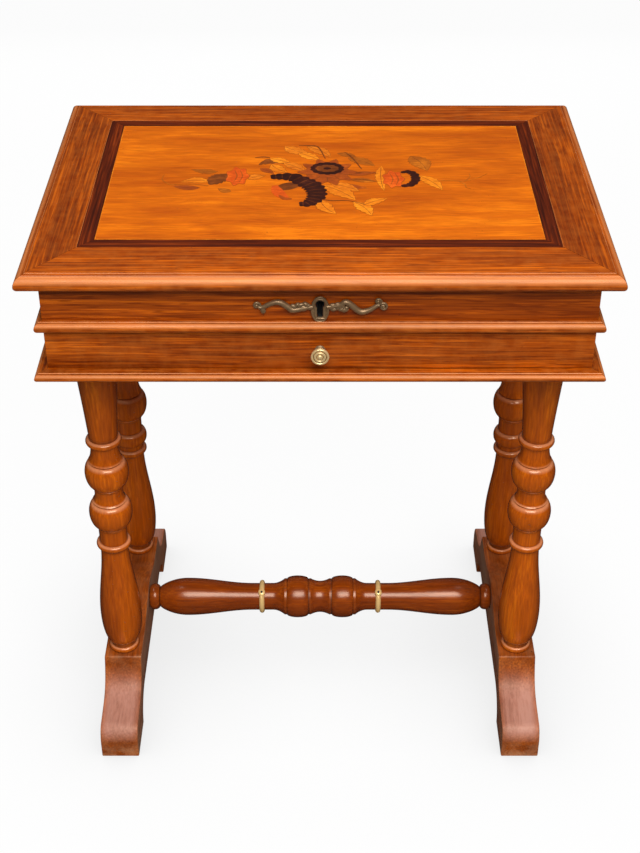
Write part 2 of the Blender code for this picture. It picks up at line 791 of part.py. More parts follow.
strike_slot = block(
    "strike_slot",
    (-STRIKE_SLOT_WIDTH / 2, lock_middle - STRIKE_SLOT_DEPTH / 2, 0),
    (STRIKE_SLOT_WIDTH / 2, lock_middle + STRIKE_SLOT_DEPTH / 2, strike_top + STRIKE_POCKET),
)
cut(strike_plate, strike_slot)
cut(lid_frame["front"], strike_recess)
cut(lid_frame["front"], strike_slot)
lid_pieces.append(strike_plate)


# Escutcheon: an oval keyhole plate with two scrolled arms that end in curls
def keyhole_outline():
    half_slot = KEYHOLE_SLOT_WIDTH / 2
    meet = math.degrees(math.asin(half_slot / KEYHOLE_RADIUS))
    head = arc((0, 0), (KEYHOLE_RADIUS, KEYHOLE_RADIUS), 270 + meet, 630 - meet, 12)
    return [(half_slot, -KEYHOLE_SLOT_LENGTH)] + head + [(-half_slot, -KEYHOLE_SLOT_LENGTH)]


def smooth_route(points, per_span):
    """Points on a smooth curve through the given ones."""
    spots = [Vector(point) for point in points]
    padded = [2 * spots[0] - spots[1]] + spots + [2 * spots[-1] - spots[-2]]
    route = []
    for before, start, end, after in zip(padded, padded[1:], padded[2:], padded[3:]):
        for step in range(per_span):
            t = step / per_span
            bend = 2 * before - 5 * start + 4 * end - after
            turn = 3 * (start - end) + after - before
            route.append(start + 0.5 * (t * (end - before) + t * t * bend + t * t * t * turn))
    route.append(spots[-1])
    return route


def arm_tube(name, points):
    curve = bpy.data.curves.new(name, "CURVE")
    curve.dimensions = "3D"
    curve.bevel_depth = ARM_RADIUS
    curve.bevel_resolution = 1
    curve.use_fill_caps = True
    route = smooth_route(points, 3)
    spline = curve.splines.new("POLY")
    spline.points.add(len(route) - 1)
    for point, spot in zip(spline.points, route):
        point.co = (spot.x, spot.y, 0, 1)
    return add(name, solid_of_curve(name, curve), None)


def button(name, place, radius):
    """Flattened knop, for a curl's end or a leaf cluster."""
    shape = bmesh.new()
    bmesh.ops.create_uvsphere(shape, u_segments=10, v_segments=6, radius=1.0)
    bmesh.ops.scale(shape, vec=(radius[0], radius[1], ARM_RADIUS), verts=shape.verts)
    mesh = bpy.data.meshes.new(name)
    shape.to_mesh(mesh)
    shape.free()
    obj = add(name, mesh, None)
    obj.location = (place[0], place[1], 0)
    return obj


plate_centre = Vector((0, face_y, key_height - PLATE_DROP))
plate_rim = arc((0, 0), (PLATE_HALF_WIDTH, PLATE_HALF_HEIGHT), 0, 345, 23)
escutcheon = extrusion("escutcheon", [plate_rim], 2 * PLATE_THICKNESS, bronze)
arm_level = ARM_SINK * ARM_RADIUS
ornaments = [arm_tube("escutcheon_arm_" + name, route) for name, route in ARMS.items()]
ornaments += [
    button("escutcheon_" + name, place, (radius, radius)) for name, (place, radius) in CURLS.items()
]
ornaments += [
    button("escutcheon_" + name, place, (LEAF_LENGTH / 2, LEAF_HEIGHT / 2)) for name, place in LEAVES.items()
]
for ornament in ornaments:
    ornament.rotation_euler = front_turn
    offset = Vector((ornament.location.x, -arm_level, ornament.location.y))
    ornament.location = plate_centre + offset
    join(escutcheon, ornament, "MANIFOLD")
escutcheon.rotation_euler = front_turn
escutcheon.location = plate_centre
flat_back = block(
    "escutcheon_flat_back",
    (-case_half_width, face_y, mid_level),
    (case_half_width, 0, lid_level),
)
cut(escutcheon, flat_back, "MANIFOLD")
keyhole = extrusion("keyhole", [keyhole_outline()], 4 * FRONT_THICKNESS)
keyhole.rotation_euler = front_turn
keyhole.location = (0, lock_middle - 2 * FRONT_THICKNESS, key_height)
cut(escutcheon, keyhole, "MANIFOLD")
cut(case_front, keyhole)
cut(lock_case, keyhole)


# Legs: turned from the top down, the rear pair to a pattern of its own above the vase
def swell(top, bottom, end_radius, middle_radius, steps):
    """Half-elliptical ball or bead between two heights."""
    points = []
    for step in range(steps + 1):
        share = step / steps
        bulge = math.sqrt(max(0.0, 1 - (2 * share - 1) ** 2))
        points.append((end_radius + (middle_radius - end_radius) * bulge, top + (bottom - top) * share))
    return points


def cove(top, bottom, top_radius, waist_radius, bottom_radius, waist_share, steps):
    """Hollow neck with its narrowest place at a share of its height."""
    points = []
    for step in range(steps + 1):
        share = step / steps
        if share < waist_share:
            ease = (1 - share / waist_share) ** 2
            radius = waist_radius + (top_radius - waist_radius) * ease
        else:
            ease = ((share - waist_share) / (1 - waist_share)) ** 2
            radius = waist_radius + (bottom_radius - waist_radius) * ease
        points.append((radius, top + (bottom - top) * share))
    return points


def vase(top, bottom, top_radius, belly_radius, bottom_radius, belly_share, steps):
    """Long swelling that is slim at the top, full at the belly and drawn in at the foot."""
    points = []
    for step in range(steps + 1):
        share = step / steps
        if share < belly_share:
            ease = 0.5 - 0.5 * math.cos(math.pi * share / belly_share)
            radius = top_radius + (belly_radius - top_radius) * ease
        else:
            drop = (share - belly_share) / (1 - belly_share)
            radius = bottom_radius + (belly_radius - bottom_radius) * math.sqrt(max(0.0, 1 - drop * drop))
        points.append((radius, top + (bottom - top) * share))
    return points


def ring(height):
    return swell(height + RING_HALF, height - RING_HALF, NECK_RADIUS, LEG_RING_RADIUS, 4)


def ball(height):
    """Ball between a shoulder above and a fillet below."""
    body = swell(height + BALL_HALF, height - BALL_HALF, SHOULDER_RADIUS, BALL_RADIUS, 6)
    low = height - BALL_HALF
    return body + [(SHOULDER_RADIUS, low - FILLET)]


def trumpet(bottom):
    points = []
    for step in range(4):
        share = step / 4
        radius = NECK_RADIUS + (LEG_TOP_RADIUS - NECK_RADIUS) * (1 - share) ** TRUMPET_CURVE
        points.append((radius, leg_shoulder + (bottom - leg_shoulder) * share))
    return points


leg_shoulder = LEG_TOP_HEIGHT - SEAT_GAP
leg_seat = BLOCK_HEIGHT + SEAT_GAP
base_ring_top = leg_seat + BASE_RING_HEIGHT
vase_foot = base_ring_top + BASE_NECK_HEIGHT
leg_head = [
    (0, leg_shoulder + LEG_TOP_TENON),
    (LEG_TENON_RADIUS, leg_shoulder + LEG_TOP_TENON),
    (LEG_TENON_RADIUS, leg_shoulder),
]
vase_top = VASE_RING_HEIGHT - RING_HALF
leg_tail = (
    ring(VASE_RING_HEIGHT)
    + vase(vase_top, vase_foot, VASE_TOP_RADIUS, VASE_BELLY_RADIUS, VASE_FOOT_RADIUS, VASE_BELLY_SHARE, 10)
    + [(VASE_FOOT_RADIUS, base_ring_top)]
    + swell(base_ring_top, leg_seat, VASE_FOOT_RADIUS, BASE_RING_RADIUS, 4)
    + [
        (LEG_TENON_RADIUS, leg_seat),
        (LEG_TENON_RADIUS, leg_seat - LEG_FOOT_TENON),
        (0, leg_seat - LEG_FOOT_TENON),
    ]
)
upper_foot = FRONT_UPPER_BALL_HEIGHT - BALL_HALF - FILLET
lower_foot = FRONT_LOWER_BALL_HEIGHT - BALL_HALF - FILLET
rear_foot = REAR_BALL_HEIGHT - BALL_HALF - FILLET
vase_ring_top = VASE_RING_HEIGHT + RING_HALF
front_profile = (
    leg_head
    + trumpet(FRONT_RING_HEIGHT + RING_HALF)
    + ring(FRONT_RING_HEIGHT)
    + cove(FRONT_RING_HEIGHT - RING_HALF, FRONT_UPPER_BALL_HEIGHT + BALL_HALF, WAIST_RADIUS, WAIST_RADIUS,
           SHOULDER_RADIUS, FRONT_UPPER_WAIST, 4)[:-1]
    + ball(FRONT_UPPER_BALL_HEIGHT)
    + cove(upper_foot, FRONT_LOWER_BALL_HEIGHT + BALL_HALF, NECK_RADIUS, NECK_RADIUS,
           SHOULDER_RADIUS, FRONT_MIDDLE_WAIST, 4)[:-1]
    + ball(FRONT_LOWER_BALL_HEIGHT)
    + cove(lower_foot, vase_ring_top, SHOULDER_RADIUS, NECK_RADIUS, NECK_RADIUS, FRONT_LOWER_WAIST, 4)[1:-1]
    + leg_tail
)
rear_profile = (
    leg_head
    + trumpet(REAR_RING_HEIGHT + RING_HALF)
    + ring(REAR_RING_HEIGHT)
    + cove(REAR_RING_HEIGHT - RING_HALF, REAR_BALL_HEIGHT + BALL_HALF, WAIST_RADIUS, WAIST_RADIUS,
           SHOULDER_RADIUS, REAR_UPPER_WAIST, 4)[:-1]
    + ball(REAR_BALL_HEIGHT)
    + cove(rear_foot, REAR_BEAD_HEIGHT + REAR_BEAD_HALF, NECK_RADIUS, NECK_RADIUS, NECK_RADIUS,
           REAR_LOWER_WAIST, 2)[:-1]
    + swell(REAR_BEAD_HEIGHT + REAR_BEAD_HALF, REAR_BEAD_HEIGHT - REAR_BEAD_HALF, NECK_RADIUS,
            FLATTENED_BEAD_RADIUS, 6)
    + leg_tail
)
LEGS = {
    "leg_front_left": (-1, -1, front_profile),
    "leg_front_right": (1, -1, front_profile),
    "leg_rear_left": (-1, 1, rear_profile),
    "leg_rear_right": (1, 1, rear_profile),
}
tenon_sockets = []
for name, (side_x, side_y, profile) in LEGS.items():
    leg = turning(name, profile, leg_wood)
    leg.location = (side_x * leg_x, side_y * leg_y, 0)
    socket = rod(
        name + "_top_socket",
        LEG_TENON_RADIUS + SEAT_GAP,
        2 * (LEG_TOP_TENON + SEAT_GAP),
        (leg.location.x, leg.location.y, LEG_TOP_HEIGHT),
    )
    cut(case_bottom, socket)
    foot_socket = rod(
        name + "_foot_socket",
        LEG_TENON_RADIUS + SEAT_GAP,
        2 * (LEG_FOOT_TENON + SEAT_GAP),
        (leg.location.x, leg.location.y, BLOCK_HEIGHT),
    )
    tenon_sockets.append((side_x, foot_socket))


# Feet: a sledge outline with hollowed toes, blocks under the legs, a hump at the stretcher and an arch below
def half_foot():
    """Upper edge from the toe to the middle, then the arch back to the pad."""
    half = leg_y + TOE_REACH
    hump_half = leg_y - HUMP_INSET
    block_y = half - TOE_LENGTH
    nose_y = half - NOSE_LENGTH
    sweep = BLOCK_HEIGHT - TOE_HEIGHT - TOE_RISE
    outline = [(half, 0)]
    outline += arc((nose_y, NOSE_FACE), (NOSE_LENGTH, TOE_HEIGHT - NOSE_FACE), 0, 90, 5)
    for step in range(1, 11):
        share = math.sin(math.pi / 2 * step / 10)
        rise = TOE_RISE * share + sweep * share**TOE_SWEEP
        outline.append((nose_y + (block_y - nose_y) * share, TOE_HEIGHT + rise))
    for step in range(7):
        share = step / 6
        rise = (HUMP_HEIGHT - BLOCK_HEIGHT) * (0.5 - 0.5 * math.cos(math.pi * share))
        outline.append((hump_half * (1 - share), BLOCK_HEIGHT + rise))
    pad = half - PAD_LENGTH
    underside = [(0, ARCH_HEIGHT)]
    underside += arc((pad - ARCH_ROUND, 0), (ARCH_ROUND, ARCH_HEIGHT), 90, 0, 6)
    return outline, underside


edge, underside = half_foot()
foot_outline = edge + [(-y, z) for y, z in reversed(edge[:-1])]
foot_outline += [(-y, z) for y, z in reversed(underside[1:])] + underside[1:]
feet = {}
for name, sign in (("foot_left", -1), ("foot_right", 1)):
    foot = extrusion(name, [foot_outline], FOOT_WIDTH, foot_wood)
    foot.rotation_euler = (math.pi / 2, 0, math.pi / 2)
    foot.location = (sign * leg_x, 0, 0)
    feet[sign] = foot
    stretcher_socket = rod(
        name + "_stretcher_socket",
        STRETCHER_TENON_RADIUS + SEAT_GAP,
        2 * (STRETCHER_TENON + SEAT_GAP),
        (sign * (leg_x - FOOT_WIDTH / 2), 0, STRETCHER_HEIGHT),
        (0, math.pi / 2, 0),
    )
    cut(foot, stretcher_socket)
for side_x, foot_socket in tenon_sockets:
    cut(feet[side_x], foot_socket)


# Stretcher: turned alike on both sides of its middle, tenoned into the feet, with a brass ring on each neck
stretcher_end = leg_x - FOOT_WIDTH / 2 - SEAT_GAP
collar_start = stretcher_end - COLLAR_WIDTH
bead_start = STRETCHER_MIDDLE_HALF + STRETCHER_FILLET
bead_end = bead_start + 2 * STRETCHER_BEAD_HALF
half_stretcher = cove(-STRETCHER_MIDDLE_HALF, STRETCHER_MIDDLE_HALF, STRETCHER_FILLET_RADIUS,
                      STRETCHER_MIDDLE_RADIUS, STRETCHER_FILLET_RADIUS, 0.5, 6)[3:]
half_stretcher += swell(bead_start, bead_end, STRETCHER_FILLET_RADIUS, STRETCHER_BEAD_RADIUS, 6)
half_stretcher += cove(bead_end + STRETCHER_FILLET, STRETCHER_COVE_END, STRETCHER_FILLET_RADIUS,
                       RING_SEAT_RADIUS, RING_SEAT_RADIUS, STRETCHER_COVE_WAIST, 4)
half_stretcher += vase(STRETCHER_VASE_START, collar_start, RING_SEAT_RADIUS, STRETCHER_VASE_RADIUS,
                       STRETCHER_NECK_RADIUS, STRETCHER_VASE_SHARE, 10)
half_stretcher += swell(collar_start, stretcher_end, STRETCHER_NECK_RADIUS, COLLAR_RADIUS, 4)
half_stretcher += [
    (STRETCHER_TENON_RADIUS, stretcher_end),
    (STRETCHER_TENON_RADIUS, stretcher_end + STRETCHER_TENON),
    (0, stretcher_end + STRETCHER_TENON),
]
whole_stretcher = list(reversed(half_stretcher)) + [(radius, -along) for radius, along in half_stretcher[1:]]
stretcher = turning("stretcher", whole_stretcher, leg_wood)
along_x_turn = (0, math.pi / 2, 0)
stretcher.rotation_euler = along_x_turn
stretcher.location = (0, 0, STRETCHER_HEIGHT)
ring_inner = RING_SEAT_RADIUS + SEAT_GAP
ring_section = arc((ring_inner, 0), (RING_RADIUS - ring_inner, RING_WIDTH / 2), 90, -90, 6)
ring_section.append(ring_section[0])
for name, sign in (("left", -1), ("right", 1)):
    collar = turning("stretcher_ring_" + name, ring_section, brass)
    collar.rotation_euler = along_x_turn
    collar.location = (sign * RING_PLACE, 0, STRETCHER_HEIGHT)


# Joint axes: the lid turns on the hinge pins, the drawer and the bolt slide
carry(joint_empty("lid_hinge_axis", hinge_axis), lid_pieces)
carry(joint_empty("drawer_slide_axis", (0, -case_half_depth, knob_height)), drawer_pieces)
carry(joint_empty("lock_bolt_axis", (0, lock_middle, case_top)), [lock_bolt])
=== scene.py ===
import math

import bmesh
import bpy
from mathutils import Matrix, Vector


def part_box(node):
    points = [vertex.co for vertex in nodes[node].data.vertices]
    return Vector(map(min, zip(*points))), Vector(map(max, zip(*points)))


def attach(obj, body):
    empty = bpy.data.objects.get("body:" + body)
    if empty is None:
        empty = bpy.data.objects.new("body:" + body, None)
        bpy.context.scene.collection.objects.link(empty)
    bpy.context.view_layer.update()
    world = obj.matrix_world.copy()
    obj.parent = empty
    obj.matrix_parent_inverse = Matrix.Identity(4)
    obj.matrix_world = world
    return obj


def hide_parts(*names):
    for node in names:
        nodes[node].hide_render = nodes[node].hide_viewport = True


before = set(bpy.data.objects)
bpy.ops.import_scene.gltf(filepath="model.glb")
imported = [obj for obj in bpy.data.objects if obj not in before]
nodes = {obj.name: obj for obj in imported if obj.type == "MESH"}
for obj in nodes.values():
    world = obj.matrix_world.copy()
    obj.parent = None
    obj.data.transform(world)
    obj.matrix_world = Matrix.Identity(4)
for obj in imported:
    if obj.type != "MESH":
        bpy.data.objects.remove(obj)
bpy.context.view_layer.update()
print("frame loaded,", len(nodes), "nodes")


def newObject(name, data):
    made = bpy.data.objects.new(name, data)
    bpy.context.scene.collection.objects.link(made)
    return made


def setAll(thing, **settings):
    for key, value in settings.items():
        setattr(thing, key, value)


# camera at the photograph's viewing angle
viewPoint = {"place": (0.0, -1.4685, 1.391), "tilt": 54.88, "lens": 62.2, "sensor": 36.0}
cameraData = bpy.data.cameras.new("viewCamera")
setAll(cameraData, sensor_fit="VERTICAL", sensor_height=viewPoint["sensor"], lens=viewPoint["lens"])
camera = newObject("viewCamera", cameraData)
camera.location = viewPoint["place"]
camera.rotation_euler = (math.radians(viewPoint["tilt"]), 0, 0)
bpy.context.scene.camera = camera
bpy.context.scene.view_settings.view_transform = "Standard"


# small helpers for node trees
def plug(tree, socket, value):  # a socket is linked, a plain value is set, and a colour gets its alpha
    if isinstance(value, bpy.types.NodeSocket):
        tree.links.new(value, socket)
    else:
        socket.default_value = (*value, 1) if socket.type == "RGBA" and len(value) == 3 else value


def fill(tree, sockets, values):
    for key, value in values.items():
        plug(tree, sockets[key], value)


def addNode(tree, kind, values=None, **settings):
    made = tree.nodes.new("ShaderNode" + kind)
    setAll(made, **settings)
    fill(tree, made.inputs, values or {})
    return made


def maths(tree, operation, first, second=0.0):
    return addNode(tree, "Math", {0: first, 1: second}, operation=operation).outputs[0]


def times(tree, first, *others):
    for other in others:
        first = maths(tree, "MULTIPLY", first, other)
    return first


def stretched(tree, vector, stretch):
    return addNode(tree, "VectorMath", {0: vector, 1: stretch}, operation="MULTIPLY").outputs[0]


def noiseAt(tree, vector, stretch, detail=2.0, rough=0.5):
    values = {"Vector": stretched(tree, vector, stretch), "Scale": 1.0, "Detail": detail, "Roughness": rough}
    return addNode(tree, "TexNoise", values).outputs[0]


def spread(tree, value, low, high, toLow=0.0, toHigh=1.0):
    values = {"Value": value, "From Min": low, "From Max": high, "To Min": toLow, "To Max": toHigh}
    return addNode(tree, "MapRange", values).outputs[0]


def mixed(tree, share, first, second, mode="MIX"):
    made = addNode(tree, "Mix", {0: share, 6: first, 7: second}, data_type="RGBA", blend_type=mode)
    return made.outputs[2]


def markAt(tree, name):  # a mark that markEdges stored on the mesh
    return addNode(tree, "Attribute", attribute_name=name).outputs["Fac"]


groups = {}


def newGroup(name, inputs, outputs):  # the kind of an input follows from its first value
    tree = groups[name] = bpy.data.node_groups.new(name, "ShaderNodeTree")
    kinds = {type(None): "Vector", tuple: "Color", float: "Float"}
    for label, value in inputs.items():
        socketType = "NodeSocket" + kinds[type(value)]
        socket = tree.interface.new_socket(name=label, in_out="INPUT", socket_type=socketType)
        if value is not None:
            socket.default_value = (*value, 1) if isinstance(value, tuple) else value
    for label in outputs:
        socketType = "NodeSocketColor" if label == "Color" else "NodeSocketFloat"
        tree.interface.new_socket(name=label, in_out="OUTPUT", socket_type=socketType)
    return tree, tree.nodes.new("NodeGroupInput").outputs, tree.nodes.new("NodeGroupOutput").inputs


# wood grain: broad figure, streaks, fibres and pores that run along X of the given vector
grainScales = {
    "wander": (2.6, 5.0, 5.0), "figure": (3.5, 34, 34), "streak": (9, 400, 400), "fibre": (16, 430, 430),
    "pores": (38, 420, 420),
}
tree, taken, given = newGroup("woodGrain", {
    "Vector": None, "Dark": (0.2, 0.05, 0.01), "Light": (0.5, 0.1, 0.01), "Flame": (0.6, 0.2, 0.01),
    "Figure": 0.6, "Streak": 0.5, "Pores": 0.5, "Waver": 0.012,
}, ("Color", "Height", "Tone"))
wander = noiseAt(tree, taken["Vector"], grainScales["wander"])
wander = times(tree, maths(tree, "SUBTRACT", wander, 0.5), taken["Waver"])
sway = addNode(tree, "CombineXYZ", {1: wander, 2: wander}).outputs[0]
wavy = addNode(tree, "VectorMath", {0: taken["Vector"], 1: sway}, operation="ADD").outputs[0]
figure = spread(tree, noiseAt(tree, wavy, grainScales["figure"], 4.0, 0.55), 0.32, 0.68)
streak = spread(tree, noiseAt(tree, wavy, grainScales["streak"], 3.0, 0.6), 0.34, 0.66)
fibre = noiseAt(tree, wavy, grainScales["fibre"], 2.0, 0.6)
pores = times(tree, spread(tree, noiseAt(tree, wavy, grainScales["pores"], 1.0), 0.56, 0.68), taken["Pores"])
tone = maths(tree, "ADD", times(tree, figure, taken["Figure"]), times(tree, streak, taken["Streak"]))
tone = maths(tree, "DIVIDE", tone, maths(tree, "ADD", taken["Figure"], taken["Streak"]))
colour = mixed(tree, spread(tree, tone, 0.1, 0.75), taken["Dark"], taken["Light"])
colour = mixed(tree, spread(tree, tone, 0.62, 1.0), colour, taken["Flame"])
shade = spread(tree, fibre, 0.25, 0.75, 0.8, 1.14)
tint = addNode(tree, "CombineColor", {0: shade, 1: shade, 2: shade}).outputs[0]
colour = mixed(tree, 1.0, colour, tint, "MULTIPLY")
colour = mixed(tree, times(tree, pores, 0.75), colour, taken["Dark"])
height = maths(tree, "SUBTRACT", times(tree, fibre, 0.4), pores)
fill(tree, given, {"Color": colour, "Height": height, "Tone": tone})


# age: rubbed arrises, dirt and painted shade in the hollows, small dents
ageScales = {"patch": (70, 70, 70), "cloud": (28, 28, 28), "speck": (260, 260, 260), "region": (14, 14, 14)}
tree, taken, given = newGroup("ageAndShadeMarks", {
    "Color": (0.5, 0.1, 0.01), "Vector": None, "Worn": (0.7, 0.25, 0.06), "GrimeAndShade": (0.03, 0.008, 0.003),
    "Rub": 0.6, "Dirtshade": 0.7, "Dents": 0.4,
}, ("Color", "Mask", "Height"))
patch = spread(tree, noiseAt(tree, taken["Vector"], ageScales["patch"], 3.0, 0.6), 0.38, 0.66)
rubbed = times(tree, markAt(tree, "wear"), patch, taken["Rub"])
cloud = spread(tree, noiseAt(tree, taken["Vector"], ageScales["cloud"], 3.0, 0.6), 0.2, 0.7, 0.45, 1.0)
# painted shade: the hollows are darkened as shade would darken them, mixed with dirt
dirtAndShade = times(tree, markAt(tree, "hollow"), cloud, taken["Dirtshade"])
speck = spread(tree, noiseAt(tree, taken["Vector"], ageScales["speck"], 1.0), 0.7, 0.76)
region = spread(tree, noiseAt(tree, taken["Vector"], ageScales["region"], 1.0), 0.48, 0.62)
dented = times(tree, speck, region, taken["Dents"])
colour = mixed(tree, rubbed, taken["Color"], taken["Worn"])
for share in (dented, dirtAndShade):
    colour = mixed(tree, share, colour, taken["GrimeAndShade"])
fill(tree, given, {"Color": colour, "Mask": maths(tree, "ADD", dirtAndShade, dented), "Height": times(tree, dented, -1.0)})


# metal: a bright metal under a cloudy patina that gathers in the hollows
metalScales = {"cloud": (150, 150, 150), "pits": (600, 600, 600)}
tree, taken, given = newGroup("metalPatina", {
    "Vector": None, "Metal": (0.5, 0.3, 0.1), "Patina": (0.1, 0.06, 0.02),
    "Amount": 0.5, "Smooth": 0.25, "Rough": 0.55,
}, ("Color", "Roughness", "Height"))
cloud = noiseAt(tree, taken["Vector"], metalScales["cloud"], 4.0, 0.65)
film = maths(tree, "ADD", times(tree, cloud, taken["Amount"]), markAt(tree, "hollow"))
film = maths(tree, "SUBTRACT", film, times(tree, markAt(tree, "wear"), 0.4))
film = spread(tree, film, 0.12, 0.75)
fill(tree, given, {
    "Color": mixed(tree, film, taken["Metal"], taken["Patina"]),
    "Roughness": addNode(tree, "Mix", {0: film, 2: taken["Smooth"], 3: taken["Rough"]}).outputs[0],
    "Height": times(tree, noiseAt(tree, taken["Vector"], metalScales["pits"]), film),
})
print("shared node groups built")


# finishes: the turn brings the grain of the piece onto X
grainTurns = {"alongX": (0, 0, 0), "alongY": (0, 0, math.pi / 2), "alongZ": (0, math.pi / 2, 0)}
woodMarks = {
    "bloomTone": (0.1, 0.8), "acrossLeast": 0.25, "flankLean": (0.75, 0.95), "flankTone": (0.2, 0.8),
    "flankLeast": 0.25, "rimSlant": (0.4, 0.95), "dull": 0.06, "bright": 0.04, "grimeRough": 0.35,
    "relief": 0.12, "reliefDepth": 0.0004,
}
metalMarks = {"relief": 0.2, "reliefDepth": 0.0003}


def newMaterial(name):
    material = bpy.data.materials.new(name)
    material.use_nodes = True
    return material, material.node_tree, material.node_tree.nodes["Principled BSDF"]


def bumped(tree, height, strength, depth):
    return addNode(tree, "Bump", {"Height": height, "Strength": strength, "Distance": depth}).outputs[0]


def addGroup(tree, name, look, values):  # takes what the look has for the group's inputs
    made = addNode(tree, "Group", values, node_tree=groups[name])
    labels = [socket.name for socket in made.inputs if socket.name.lower() in look]
    fill(tree, made.inputs, {label: look[label.lower()] for label in labels})
    return made.outputs


def woodFinish(name, look, direction):
    material, tree, shader = newMaterial(name)
    marks = woodMarks
    coords = addNode(tree, "TexCoord").outputs["Object"]
    turn = addNode(tree, "Mapping", {"Vector": coords, "Rotation": grainTurns[direction]}).outputs[0]
    turn = stretched(tree, turn, (look.get("shorten", 1.0), 1.0, 1.0))
    grain = addGroup(tree, "woodGrain", look, {"Vector": turn})
    # the age marks darken the hollows with dirt and painted shade together
    ageAndShade = addGroup(tree, "ageAndShadeMarks", look, {"Color": grain["Color"], "Vector": turn})
    colour = ageAndShade["Color"]
    facing = addNode(tree, "SeparateXYZ", {0: addNode(tree, "NewGeometry").outputs["Normal"]}).outputs
    if "bloom" in look:  # painted highlight: paler on faces that lean by these amounts, away from the middle
        start, full, last, end = look["bloomLean"]
        leaning = times(tree, spread(tree, facing[2], start, full), spread(tree, facing[2], end, last))
        place = addNode(tree, "SeparateXYZ", {0: coords}).outputs
        share = spread(tree, maths(tree, "ABSOLUTE", place[1]), *look["bloomFrom"], 0.0, look["bloomShare"])
        if "bloomAcross" in look:  # and the painted highlight fades towards both sides of the piece
            middle, full, none = look["bloomAcross"]
            aside = maths(tree, "SUBTRACT", maths(tree, "ABSOLUTE", place[0]), middle)
            aside = maths(tree, "ABSOLUTE", aside)
            share = times(tree, share, spread(tree, aside, none, full, marks["acrossLeast"], 1.0))
        share = times(tree, share, spread(tree, grain["Tone"], *marks["bloomTone"], look["bloomLeast"], 1.0))
        colour = mixed(tree, times(tree, leaning, share), colour, look["bloom"])
    if "flank" in look:  # the upright sides have lost their polish
        flat = spread(tree, maths(tree, "ABSOLUTE", facing[0]), *marks["flankLean"], 0.0, look["flankShare"])
        flat = times(tree, flat, spread(tree, grain["Tone"], *marks["flankTone"], marks["flankLeast"], 1.0))
        colour = mixed(tree, flat, colour, look["flank"])
    if "rim" in look:  # painted shade: darker where the surface is seen at a slant, towards the outlines
        slant = addNode(tree, "LayerWeight", {"Blend": 0.5}).outputs["Facing"]
        colour = mixed(tree, spread(tree, slant, *marks["rimSlant"], 0.0, look["rimShare"]), colour, look["rim"])
    gloss = look["roughness"]
    sheen = spread(tree, grain["Tone"], 0.0, 1.0, gloss + marks["dull"], gloss - marks["bright"])
    relief = maths(tree, "ADD", grain["Height"], ageAndShade["Height"])
    fill(tree, shader.inputs, {
        "Base Color": colour,
        "Roughness": maths(tree, "ADD", sheen, times(tree, ageAndShade["Mask"], marks["grimeRough"])),
        "Specular IOR Level": look["specular"], "Specular Tint": look.get("varnish", (1.0, 1.0, 1.0)),
        "Normal": bumped(tree, relief, look.get("relief", marks["relief"]), marks["reliefDepth"]),
    })
    return material


def metalFinish(name, *values):
    material, tree, shader = newMaterial(name)
    look = dict(zip(("metal", "patina", "amount", "smooth", "rough", "metallic"), values))
    film = addGroup(tree, "metalPatina", look, {"Vector": addNode(tree, "TexCoord").outputs["Object"]})
    fill(tree, shader.inputs, {
        "Base Color": film["Color"], "Roughness": film["Roughness"], "Metallic": look["metallic"],
        "Normal": bumped(tree, film["Height"], metalMarks["relief"], metalMarks["reliefDepth"]),
    })
    return material


# looks: in each, the hollows are darkened by dirt and painted shade together
polishedWood = {
    "dark": (0.17, 0.022, 0.0006), "light": (0.44, 0.076, 0.0014), "flame": (0.66, 0.136, 0.004),
    "figure": 0.45, "streak": 0.9, "pores": 0.9, "waver": 0.01, "roughness": 0.3, "specular": 0.34,
    "worn": (0.66, 0.2, 0.03), "rub": 0.55, "dirtshade": 0.75, "dents": 0.35,
    # a painted highlight, paler on the faces that lean up, such as ovolos and bead tops
    "bloom": (0.8, 0.27, 0.08), "bloomShare": 0.6, "bloomLean": (0.15, 0.45, 0.9, 0.99),
    "bloomFrom": (-1.0, 0.0), "bloomLeast": 0.75, "varnish": (1.0, 0.76, 0.56),
}
sideWood = {
    **polishedWood, "dark": (0.13, 0.016, 0.0005), "light": (0.36, 0.06, 0.0012), "flame": (0.55, 0.112, 0.0034),
}
fieldWood = {
    "dark": (0.43, 0.074, 0.0018), "light": (0.67, 0.143, 0.0028), "flame": (0.81, 0.2, 0.0054),
    "figure": 0.9, "streak": 0.3, "pores": 0.3, "waver": 0.03, "roughness": 0.33, "specular": 0.22,
    "rub": 0.0, "dirtshade": 0.0, "dents": 0.3, "shorten": 2.2, "varnish": (1.0, 0.76, 0.56),
}
bandWood = {
    "dark": (0.03, 0.004, 0.0012), "light": (0.12, 0.015, 0.0022), "flame": (0.26, 0.04, 0.004),
    "figure": 0.4, "streak": 0.9, "pores": 0.5, "roughness": 0.4, "specular": 0.12, "dents": 0.2,
}
turnedWood = {
    "dark": (0.36, 0.058, 0.0014), "light": (0.59, 0.112, 0.0022), "flame": (0.72, 0.17, 0.004),
    "figure": 0.8, "streak": 0.5, "pores": 0.4, "roughness": 0.18, "specular": 0.75,
    "worn": (0.62, 0.2, 0.04), "rub": 0.6, "dirtshade": 0.95, "dents": 0.5,
    # a painted highlight on the shoulders of the balls and the tops of the rings
    "bloom": (0.88, 0.37, 0.175), "bloomShare": 0.58, "bloomLean": (0.42, 0.72, 0.97, 1.0),
    # the rim tone is painted shade towards the outlines
    "bloomFrom": (-1.0, 0.0), "bloomLeast": 0.8, "rim": (0.095, 0.013, 0.0008), "rimShare": 0.6,
    "varnish": (1.0, 0.76, 0.56),
}
stretcherWood = {
    "dark": (0.17, 0.023, 0.0012), "light": (0.33, 0.054, 0.0018), "flame": (0.48, 0.096, 0.003),
    "figure": 0.8, "streak": 0.5, "pores": 0.4, "roughness": 0.24, "specular": 0.75,
    "worn": (0.5, 0.15, 0.03), "rub": 0.6, "dirtshade": 0.95, "dents": 0.6,
    # the rim tone is painted shade towards the outlines
    "rim": (0.06, 0.008, 0.0008), "rimShare": 0.65, "varnish": (1.0, 0.76, 0.6),
}
